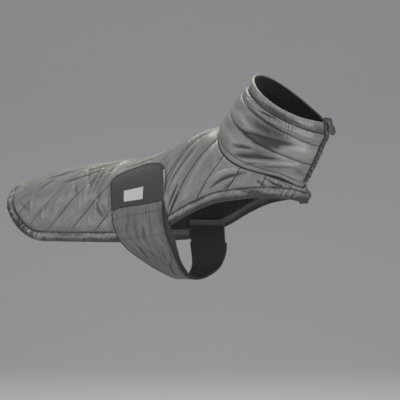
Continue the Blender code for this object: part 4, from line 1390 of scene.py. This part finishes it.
def build_collar_rim():
    count = 330
    angles = np.linspace(-FAR_CLOSING, NEAR_CLOSING, count)
    levels = np.linspace(3.015, 4.0, 22)
    points, normals, angle, level = collar_grid(angles, levels)
    share = (level - levels[0]) / np.ptp(levels)
    bulge = arch(share, 0.6) * ends_flat(angle)
    around, up = np.degrees(angle) * DEGREE_LENGTH, share * RIM_WIDTH
    small = 1.1 * gathers(around, up, 9.0, 81) * np.exp(-up / 9)
    small = small + 0.8 * uneven(around / 18, share * 3, 83) + 0.3 * uneven(around / 9, share * 5, 84)
    folds = collar_fold_heights(angle, level)
    outer = RIM_PUFF * bulge + (0.2 + small * bulge) * MM + np.maximum(folds * MM, -RIM_SINK) * bulge
    # turned so that the bands' painted shade falls on the rim's lower part by its seam, and their painted
    # highlight near its top
    flat = around * MM, (0.7 - 0.5 * share) * BAND_WIDTH
    # painted shade in the folds, and painted highlight on their ridges
    rim = wall_piece("collar_rim_padded", points, normals, -COLLAR_WALL, outer, flat, band_finish(), "shell",
                     ["collar_rim_band"], painted_fold_shade(folds))


def build_collar_lining():
    angles = np.linspace(-math.radians(178), math.radians(158), 170)
    levels = np.linspace(0.35, 3.9, 52)
    points, normals, angle, level = collar_grid(angles, levels)
    outer = -COLLAR_WALL - LINING_GAP
    pile = 0.9 * uneven(angle * 30, level * 12, 91) + 0.5 * uneven(angle * 75, level * 28, 92)
    lining = wall_piece("collar_fleece", points, normals, outer - LINING_WALL - pile * MM, outer,
                        (angle * 0.09, level * 0.04), fleece_finish(), "fleece", ["collar_lining"])


def build_collar_binding():
    """A crumpled binding tape, folded round the closing edge and over the shell's end."""
    start = NEAR_CLOSING - BINDING_LAP / NECK_WIDTH
    end = NEAR_CLOSING + (2 * GAP + BINDING_WIDTH) / NECK_WIDTH
    angles = np.linspace(start, end, 18)
    levels = np.linspace(0.22, 3.97, 110)
    points, normals, angle, level = collar_grid(angles, levels)
    share = (angle - start) / (end - start)
    up, wide = level * COLLAR_LEVEL / MM, share * 22
    bulge = arch(np.clip(share, 0.02, 0.98), 0.35)
    small = 1.5 * gathers(up + 0.5 * wide, 0, 7.6, 95) + 1.1 * uneven(up / 4, wide / 4, 97)
    small = small + 0.8 * gathers(up - 0.4 * wide, 0, 5.0, 98)
    outer = (1.6 + 1.4 * bulge + small * bulge) * MM
    past_shell = angle > NEAR_CLOSING + 2 * GAP / NECK_WIDTH
    inner = np.where(past_shell, -COLLAR_WALL, 0.9 * MM)
    # painted shade along both edges of the binding and in its crumples
    binding = wall_piece("collar_closing_binding", points, normals, inner, np.maximum(outer, 1.3 * MM),
                         (angle * COLLAR_TURN, level * COLLAR_LEVEL), binding_finish(), "piping",
                         ["collar_edge_binding"], ramp(abs(share - 0.42), 0.25, 0.42) + painted_fold_shade(small, 3))


def build_collar_tab():
    at = np.linspace(0, len(TAB_CURL) - 2, 44)
    knots = np.arange(len(TAB_CURL) - 1)
    y = np.linspace(*TAB_SIDES, 18)
    behind = np.maximum(y - TAB_BEND, 0)
    points = np.zeros((len(at), len(y), 3))
    points[..., 0] = smooth(at, knots, column(TAB_CURL, "x"))[:, None] - TAB_TURN * behind
    points[..., 1] = y
    points[..., 2] = smooth(at, knots, column(TAB_CURL, "z"))[:, None] - TAB_DROOP * behind
    ripple = 1.2 * uneven(at[:, None] * 1.7, y / 0.006, 99) * MM
    fill = -TAB_WALL - 3.6 * MM * ramp(at, 2.4, 4.0)[:, None]
    # painted shade in its ripples and toward the curl's foot
    tab = wall_piece("collar_corner_curl", points, grid_normals(points), fill, ripple,
                     (at[:, None] * 0.008, y), binding_finish(), "shell", ["collar_corner_tab"],
                     painted_fold_shade(ripple / MM, 2) + 0.3 * ramp(at, 2.0, 0.5)[:, None])


# ---------------------------------------------------------------- the belly strap
ON_PANEL_ROWS = len(STRAP_ON_PANEL) - 1


def strap_knots(across):
    """The strap's table sections as points: rows x samples across, which run from 0 at the rear edge to 1.
    across is one row for all sections, or a row for each."""
    across = np.broadcast_to(across, (STRAP_END + 1, np.shape(across)[-1]))
    angle, slant, lift, rear, front = (column(STRAP_ON_PANEL, name)[:, None] for name in STRAP_ON_PANEL[0])
    share = across[:ON_PANEL_ROWS]
    x = rear + (front - rear) * share
    turn = np.radians(angle - slant * (share - 0.5))
    above = figure(x, turn, NEAR) + figure_normal(x, turn, NEAR) * (lift * MM)[..., None]
    y, z, rear, front = (column(STRAP_BELOW, name)[:, None] for name in STRAP_BELOW[0][1:])
    below = np.stack(np.broadcast_arrays(rear + (front - rear) * across[ON_PANEL_ROWS:], y, z), -1)
    return np.concatenate([above, below])


def strap_grid(along, across):
    """Points and outward normals of the strap; along counts its table sections."""
    knots = strap_knots(np.asarray(across, float))
    points = smooth(np.asarray(along, float), np.arange(len(knots)), knots)
    return points, grid_normals(points)


def strap_columns(along, across):
    """Points and normals of the strap for a grid of places: along is rows x columns, across one value for
    each column."""
    points, normals = [], []
    nudge = np.array([-1, 0, 1]) * 1e-3
    for k, share in enumerate(across):
        grid, out = strap_grid(along[:, k], share + nudge)
        points.append(grid[:, 1])
        normals.append(out[:, 1])
    return np.stack(points, 1), np.stack(normals, 1)


def strap_spans(front):
    """The strap's width at each table section, taken square to its front or rear edge."""
    edges = strap_knots(np.array([0.0, 1.0]))
    across = edges[:, 1] - edges[:, 0]
    heading = unit(np.gradient(edges[:, 1 if front else 0], axis=0))
    return np.linalg.norm(across - heading * (across * heading).sum(-1, keepdims=True), axis=-1)


def round_top(count):
    """Heights across a cord, as shares of its thickness."""
    return arch(np.linspace(0.12, 0.88, count), 0.5)


def strap_edge(name, along, front, width, outer, material, slot, node):
    """A strip just outside one edge of the strap."""
    reach = np.linspace(STRAP_GAP, STRAP_GAP + width, CORD_SAMPLES) / strap_spans(front)[:, None]
    points, normals = strap_grid(along, 1 + reach if front else -reach[:, ::-1])
    flat = along[:, None] * ROW_HEIGHT, np.linspace(0, width, CORD_SAMPLES)
    outer = outer * round_top(CORD_SAMPLES)
    strip = wall_piece(name, points, normals, 0, outer, flat, material, slot, [node])


def strap_relief(along, across):
    """Creases, seams and stitched edges of the strap's cloth, and the distance to its edges, in mm."""
    full = STRAP_WIDTH / MM
    wide, edge = across * full, np.minimum(across, 1 - across) * full
    # long creases up and down the strap, deepest where it turns under the belly
    small = 0.5 * uneven(wide / 9, along * 0.7, 101) + 0.35 * uneven(wide / 4, along * 1.3, 102)
    for start, end, upper, lower, height, half_width in STRAP_CREASES[1:]:
        share = np.clip((along - start) / (end - start), 0, 1)
        middle = (upper + (lower - upper) * share) * full
        small = small + height * arch(share, 0.6) * ridge(wide, middle, half_width)
    # stitched across twice, and along both edges
    for first, second in STRAP_SEAMS:
        distance = (along - (first + (second - first) * across)) * ROW_HEIGHT / MM
        beside = gathers(wide, distance, 6.0, 105) * np.exp(-abs(distance) / 7)
        small = small - ridge(distance, 0, 1.3) + 0.9 * beside
    return small - 0.7 * ridge(edge, 4.0, 1.1) + 0.5 * ridge(edge, 1.6, 1.4), edge


def build_strap_cloth():
    along = np.linspace(PATCH_SEAM, STRAP_END, 210)
    along[0] += SEAM_SHARE
    across = np.linspace(0, 1, 84)
    points, normals = strap_grid(along, across)
    along = along[:, None]
    small, edge = strap_relief(along, across)
    outer = STRAP_WALL + small * MM * ramp(edge, -1.0, 2.0)
    # painted shade in the creases and seams, and painted highlight on their ridges
    strap = wall_piece("belly_strap_cloth", points, normals, 0, np.maximum(outer, 0.5 * MM),
                       (along * ROW_HEIGHT, across * STRAP_WIDTH), strap_finish(), "strap", ["belly_strap"],
                       painted_fold_shade(small, 2.0))


def build_strap_backing():
    """The strap's second layer, which shows in front of its front edge."""
    columns = 40
    along = np.linspace(PATCH_SEAM - 3 * STRAP_STEP, STRAP_END - STRAP_STEP, 120)
    front = 0.97 + np.array(LAYER_REACH)[:, None]
    points, normals = strap_grid(along, 0.03 + (front - 0.03) * np.linspace(0, 1, columns))
    lining = wall_piece("belly_strap_backing", points, normals, -STRAP_GAP - STRAP_LINING_WALL - 0.3 * MM,
                        -STRAP_GAP, (along[:, None] * ROW_HEIGHT, np.linspace(0, 0.15, columns)),
                        piping_finish(), "piping", ["belly_strap_lining"])


def build_strap_cords():
    along = np.linspace(PATCH_SEAM + SEAM_SHARE, STRAP_END - 4 * STRAP_STEP, 150)
    for word, front in (("rear", False), ("front", True)):
        strap_edge(f"strap_{word}_cord", along, front, PIPING_WIDTH, STRAP_WALL + CORD_RISE, piping_finish(),
                   "piping", f"strap_{word}_piping")


# ---------------------------------------------------------------- the closure patch
def patch_width():
    """The patch's width, which is the strap's where the patch lies on it."""
    return strap_spans(True)[2]


def patch_places():
    """The patch's places on the strap: along it, rows x columns, and across it, one value for each column."""
    turn, knots = np.linspace(0, len(PATCH_TOP) - 2, 70), np.arange(len(PATCH_TOP) - 1)
    across, top = (smooth(turn, knots, column(PATCH_TOP, name)) for name in PATCH_TOP[0])
    return top + (PATCH_SEAM - SEAM_SHARE - top) * np.linspace(0, 1, 44)[:, None], across


def build_patch_cloth():
    along, across = patch_places()
    points, normals = strap_columns(along, across)
    width = patch_width()
    x, y = across * width / MM, along * ROW_HEIGHT / MM
    small = 0.35 * uneven(x / 9, y / 12, 121) + 0.25 * uneven(x / 3, y / 8, 122)
    edge = np.minimum(np.minimum(x, width / MM - x), y - y[0])
    small = small - 0.8 * ridge(edge, 5.0, 1.2)
    outer = PATCH_WALL + small * MM * ramp(edge, -0.5, 1.5)
    patch = wall_piece("closure_patch_brushed", points, normals, 0, outer,
                       (along * ROW_HEIGHT, across * width), patch_finish(), "patch", ["closure_patch"])


def build_patch_cord():
    """Piping up the patch's rear side and over its top."""
    along, across = patch_places()
    width = patch_width()
    side = along[:0:-1, 0]
    outline = np.append(side, along[0]) * ROW_HEIGHT, np.append(0 * side, across) * width
    outline = np.stack(outline, -1)
    heading = unit(np.gradient(outline, axis=0))
    outward = np.stack([-abs(heading[:, 1]), heading[:, 0] * np.sign(heading[:, 1])], -1)
    outward[:len(side)] = (0, -1)
    reach = np.linspace(STRAP_GAP, STRAP_GAP + PIPING_WIDTH, CORD_SAMPLES)[:, None]
    strip = outline[:, None] + outward[:, None] * reach
    places, shares = strip[..., 0] / ROW_HEIGHT, strip[..., 1] / width
    # each place is the middle of three rows, which give its normal
    rows = places.reshape(1, -1).repeat(3, 0) + np.array([[-1e-2], [0], [1e-2]])
    points, normals = (grid[1].reshape(*places.shape, 3) for grid in strap_columns(rows, shares.ravel()))
    outer = (PATCH_WALL + CORD_RISE) * round_top(CORD_SAMPLES)
    piping = wall_piece("patch_cord", points, normals, 0, outer, (places * ROW_HEIGHT, shares * width),
                        piping_finish(), "piping", ["patch_piping"])


def build_hook_tape():
    strap_edge("hook_tape_edge", np.linspace(*TAPE_ALONG, 30), True, TAPE_WIDTH, PATCH_WALL - TAPE_DROP,
               tape_finish(), "tape", "hook_tape")


def build_label():
    """The plain label, stitched down round its edge."""
    rows, columns = 20, 28
    along = np.linspace(*LABEL_ALONG, rows)[:, None].repeat(columns, 1)
    across = np.linspace(*LABEL_ACROSS, columns)
    points, normals = strap_columns(along, across)
    up, wide = np.linspace(0, 1, rows)[:, None], np.linspace(0, 1, columns)
    to_edge = np.minimum(np.minimum(up, 1 - up) * 21, np.minimum(wide, 1 - wide) * 50)
    small = 0.15 * uneven(along * 8, across * 40, 131) - 0.35 * ridge(to_edge, 1.8, 0.7)
    inner = PATCH_WALL + GAP
    label = wall_piece("plain_label", points, normals, inner, inner + LABEL_WALL + small * MM,
                       (along * ROW_HEIGHT, across * patch_width()), label_finish(), "label", ["label"])


# ---------------------------------------------------------------- the stage
FLOOR_HEIGHT = -0.87
SWEEP_SIDE = 14.0               # the paper's reach to both sides and toward the camera
SWEEP_START = 3.0               # where it begins to bend up, and how wide the bend is
SWEEP_BEND = 2.5
SWEEP_HEIGHT = 9.0
CAMERA_AZIMUTH = math.radians(35)
CAMERA_DISTANCE = 3.8
CAMERA_HEIGHT = -0.152
LENS = 144


def area_light(name, location, target, size, power, colour=(1, 1, 1)):
    lamp = bpy.data.lights.new(name, "AREA")
    lamp.shape = "RECTANGLE"
    lamp.size, lamp.size_y = size
    lamp.energy = power
    lamp.color = colour
    held = add_object(name, lamp)
    held.location = location
    held.rotation_euler = (Vector(target) - Vector(location)).to_track_quat("-Z", "Y").to_euler()


def build_floor():
    """A paper sweep: floor, bend and wall, square to the camera."""
    back = np.array([-math.sin(CAMERA_AZIMUTH), math.cos(CAMERA_AZIMUTH)])
    right = np.array([math.cos(CAMERA_AZIMUTH), math.sin(CAMERA_AZIMUTH)])
    profile = [(-SWEEP_SIDE, 0.0), (SWEEP_START, 0.0)]
    for turn in np.linspace(0, math.pi / 2, 24)[1:]:
        profile.append((SWEEP_START + SWEEP_BEND * math.sin(turn), SWEEP_BEND * (1 - math.cos(turn))))
    profile.append((SWEEP_START + SWEEP_BEND, SWEEP_HEIGHT))
    points, faces = [], []
    for k, (reach, rise) in enumerate(profile):
        for side in (-SWEEP_SIDE, SWEEP_SIDE):
            x, y = back * reach + right * side
            points.append((x, y, FLOOR_HEIGHT + rise))
        if k:
            faces.append((2 * k - 2, 2 * k - 1, 2 * k + 1, 2 * k))
    mesh = bpy.data.meshes.new("floor_sweep")
    mesh.from_pydata(points, [], faces)
    mesh.shade_smooth()
    mesh.materials.append(Finish("floor_paper", colours().floor, 0.9).material)
    floor = add_object("floor_sweep", mesh)


def build_lights():
    """An even soft room and three area lights."""
    world = bpy.data.worlds.new("soft_room")
    world.use_nodes = True
    world.node_tree.nodes["Background"].inputs["Color"].default_value = (0.98, 0.98, 1, 1)
    world.node_tree.nodes["Background"].inputs["Strength"].default_value = 0.43
    bpy.context.scene.world = world
    area_light("overhead", (-0.5, 0.7, 2.1), (0, 0, -0.1), (1.6, 1.6), 52, (1, 0.985, 0.93))
    area_light("side_fill", (-1.7, -2.5, 0.2), (-0.2, 0, -0.1), (1.4, 1.4), 26, (0.95, 0.95, 1))
    area_light("front_fill", (2.6, -1.6, 0.4), (0.1, 0, -0.1), (1.2, 1.2), 46)
    bpy.context.scene.view_settings.view_transform = "Standard"


def build_camera():
    camera = bpy.data.cameras.new("camera")
    camera.lens = LENS
    camera.sensor_width = 36
    held = add_object("camera", camera)
    held.location = (math.sin(CAMERA_AZIMUTH) * CAMERA_DISTANCE, -math.cos(CAMERA_AZIMUTH) * CAMERA_DISTANCE,
                     CAMERA_HEIGHT)
    held.rotation_euler = (math.pi / 2, 0, CAMERA_AZIMUTH)
    bpy.context.scene.camera = held


# ---------------------------------------------------------------- the add-on
def colour_property(name, description, value):
    return FloatVectorProperty(name=name, description=description, default=value, subtype="COLOR", size=3,
                               min=0, max=1)


class CoatColours(bpy.types.PropertyGroup):
    """Colours of the coat's cloths and of the floor."""
    shell: colour_property("Shell", "Nylon of the panel, the bands and the collar", (0.205, 0.210, 0.195))
    strap: colour_property("Strap", "Cloth of the belly strap", (0.135, 0.135, 0.132))
    fleece: colour_property("Fleece", "Pile inside the collar", (0.012, 0.012, 0.013))
    piping: colour_property("Piping", "Narrow cords and the strap's backing", (0.035, 0.035, 0.037))
    patch: colour_property("Patch", "Brushed fabric of the closure", (0.038, 0.038, 0.040))
    tape: colour_property("Tape", "Hook tape at the patch's front edge", (0.30, 0.30, 0.33))
    label: colour_property("Label", "The plain sewn label", (0.47, 0.47, 0.45))
    floor: colour_property("Floor", "Paper sweep under and behind the coat", (0.53, 0.52, 0.53))


class CoatSizes(bpy.types.PropertyGroup):
    """Sizes that shape how the cloth lies."""
    puff: FloatProperty(name="Quilt puff", description="Height of the quilted diamonds", default=5.5 * MM,
                        min=0, max=0.01, unit="LENGTH")


class COAT_OT_back_panel(bpy.types.Operator):
    """Lay the quilted back panel."""
    bl_idname = "coat.back_panel"
    bl_label = "Back panel"

    def execute(self, context):
        build_back_panel()
        return {"FINISHED"}


class COAT_OT_hem_bands(bpy.types.Operator):
    """Sew the gathered rear band and the padded bands along the hem."""
    bl_idname = "coat.hem_bands"
    bl_label = "Hem bands"

    def execute(self, context):
        build_rear_band()
        for side, word, end in ((NEAR, "near", NEAR_END), (FAR, "far", FAR_END)):
            build_straight_band(word, side, "flank", REAR_BAND_END + GAP, FLANK_BAND_END - GAP)
            build_straight_band(word, side, "shoulder", FLANK_BAND_END, end)
        return {"FINISHED"}


class COAT_OT_collar(bpy.types.Operator):
    """Raise the padded collar with its rim, fleece, binding and curled corner."""
    bl_idname = "coat.collar"
    bl_label = "Collar"

    def execute(self, context):
        build_collar_shell()
        build_collar_rim()
        build_collar_lining()
        build_collar_binding()
        build_collar_tab()
        return {"FINISHED"}


class COAT_OT_belly_strap(bpy.types.Operator):
    """Draw the strap under the belly, with its backing and edge cords."""
    bl_idname = "coat.belly_strap"
    bl_label = "Belly strap"

    def execute(self, context):
        build_strap_cloth()
        build_strap_backing()
        build_strap_cords()
        return {"FINISHED"}


class COAT_OT_closure(bpy.types.Operator):
    """Close the strap on the flank with its patch, tape and label."""
    bl_idname = "coat.closure"
    bl_label = "Closure patch"

    def execute(self, context):
        build_patch_cloth()
        build_patch_cord()
        build_hook_tape()
        build_label()
        return {"FINISHED"}


class COAT_OT_stage(bpy.types.Operator):
    """Set the floor, the soft light and the camera."""
    bl_idname = "coat.stage"
    bl_label = "Stage"

    def execute(self, context):
        build_floor()
        build_lights()
        build_camera()
        return {"FINISHED"}


OPERATORS = (COAT_OT_back_panel, COAT_OT_hem_bands, COAT_OT_collar, COAT_OT_belly_strap, COAT_OT_closure,
             COAT_OT_stage)


class COAT_PT_sidebar(bpy.types.Panel):
    """The coat's sizes, colours and steps."""
    bl_idname = "COAT_PT_sidebar"
    bl_label = "Dog winter coat"
    bl_space_type = "VIEW_3D"
    bl_region_type = "UI"
    bl_category = "Coat"

    def draw(self, context):
        for group in (context.scene.coat_sizes, context.scene.coat_colours):
            for name in group.__annotations__:
                self.layout.prop(group, name)
        for operator in OPERATORS:
            self.layout.operator(operator.bl_idname)


CLASSES = (CoatColours, CoatSizes, *OPERATORS, COAT_PT_sidebar)


def register():
    for entry in CLASSES:
        bpy.utils.register_class(entry)
    bpy.types.Scene.coat_colours = PointerProperty(type=CoatColours)
    bpy.types.Scene.coat_sizes = PointerProperty(type=CoatSizes)


def unregister():
    del bpy.types.Scene.coat_sizes
    del bpy.types.Scene.coat_colours
    for entry in reversed(CLASSES):
        bpy.utils.unregister_class(entry)


def main():
    register()
    for operator in OPERATORS:
        group, name = operator.bl_idname.split(".")
        getattr(getattr(bpy.ops, group), name)()


if __name__ == "__main__":
    main()
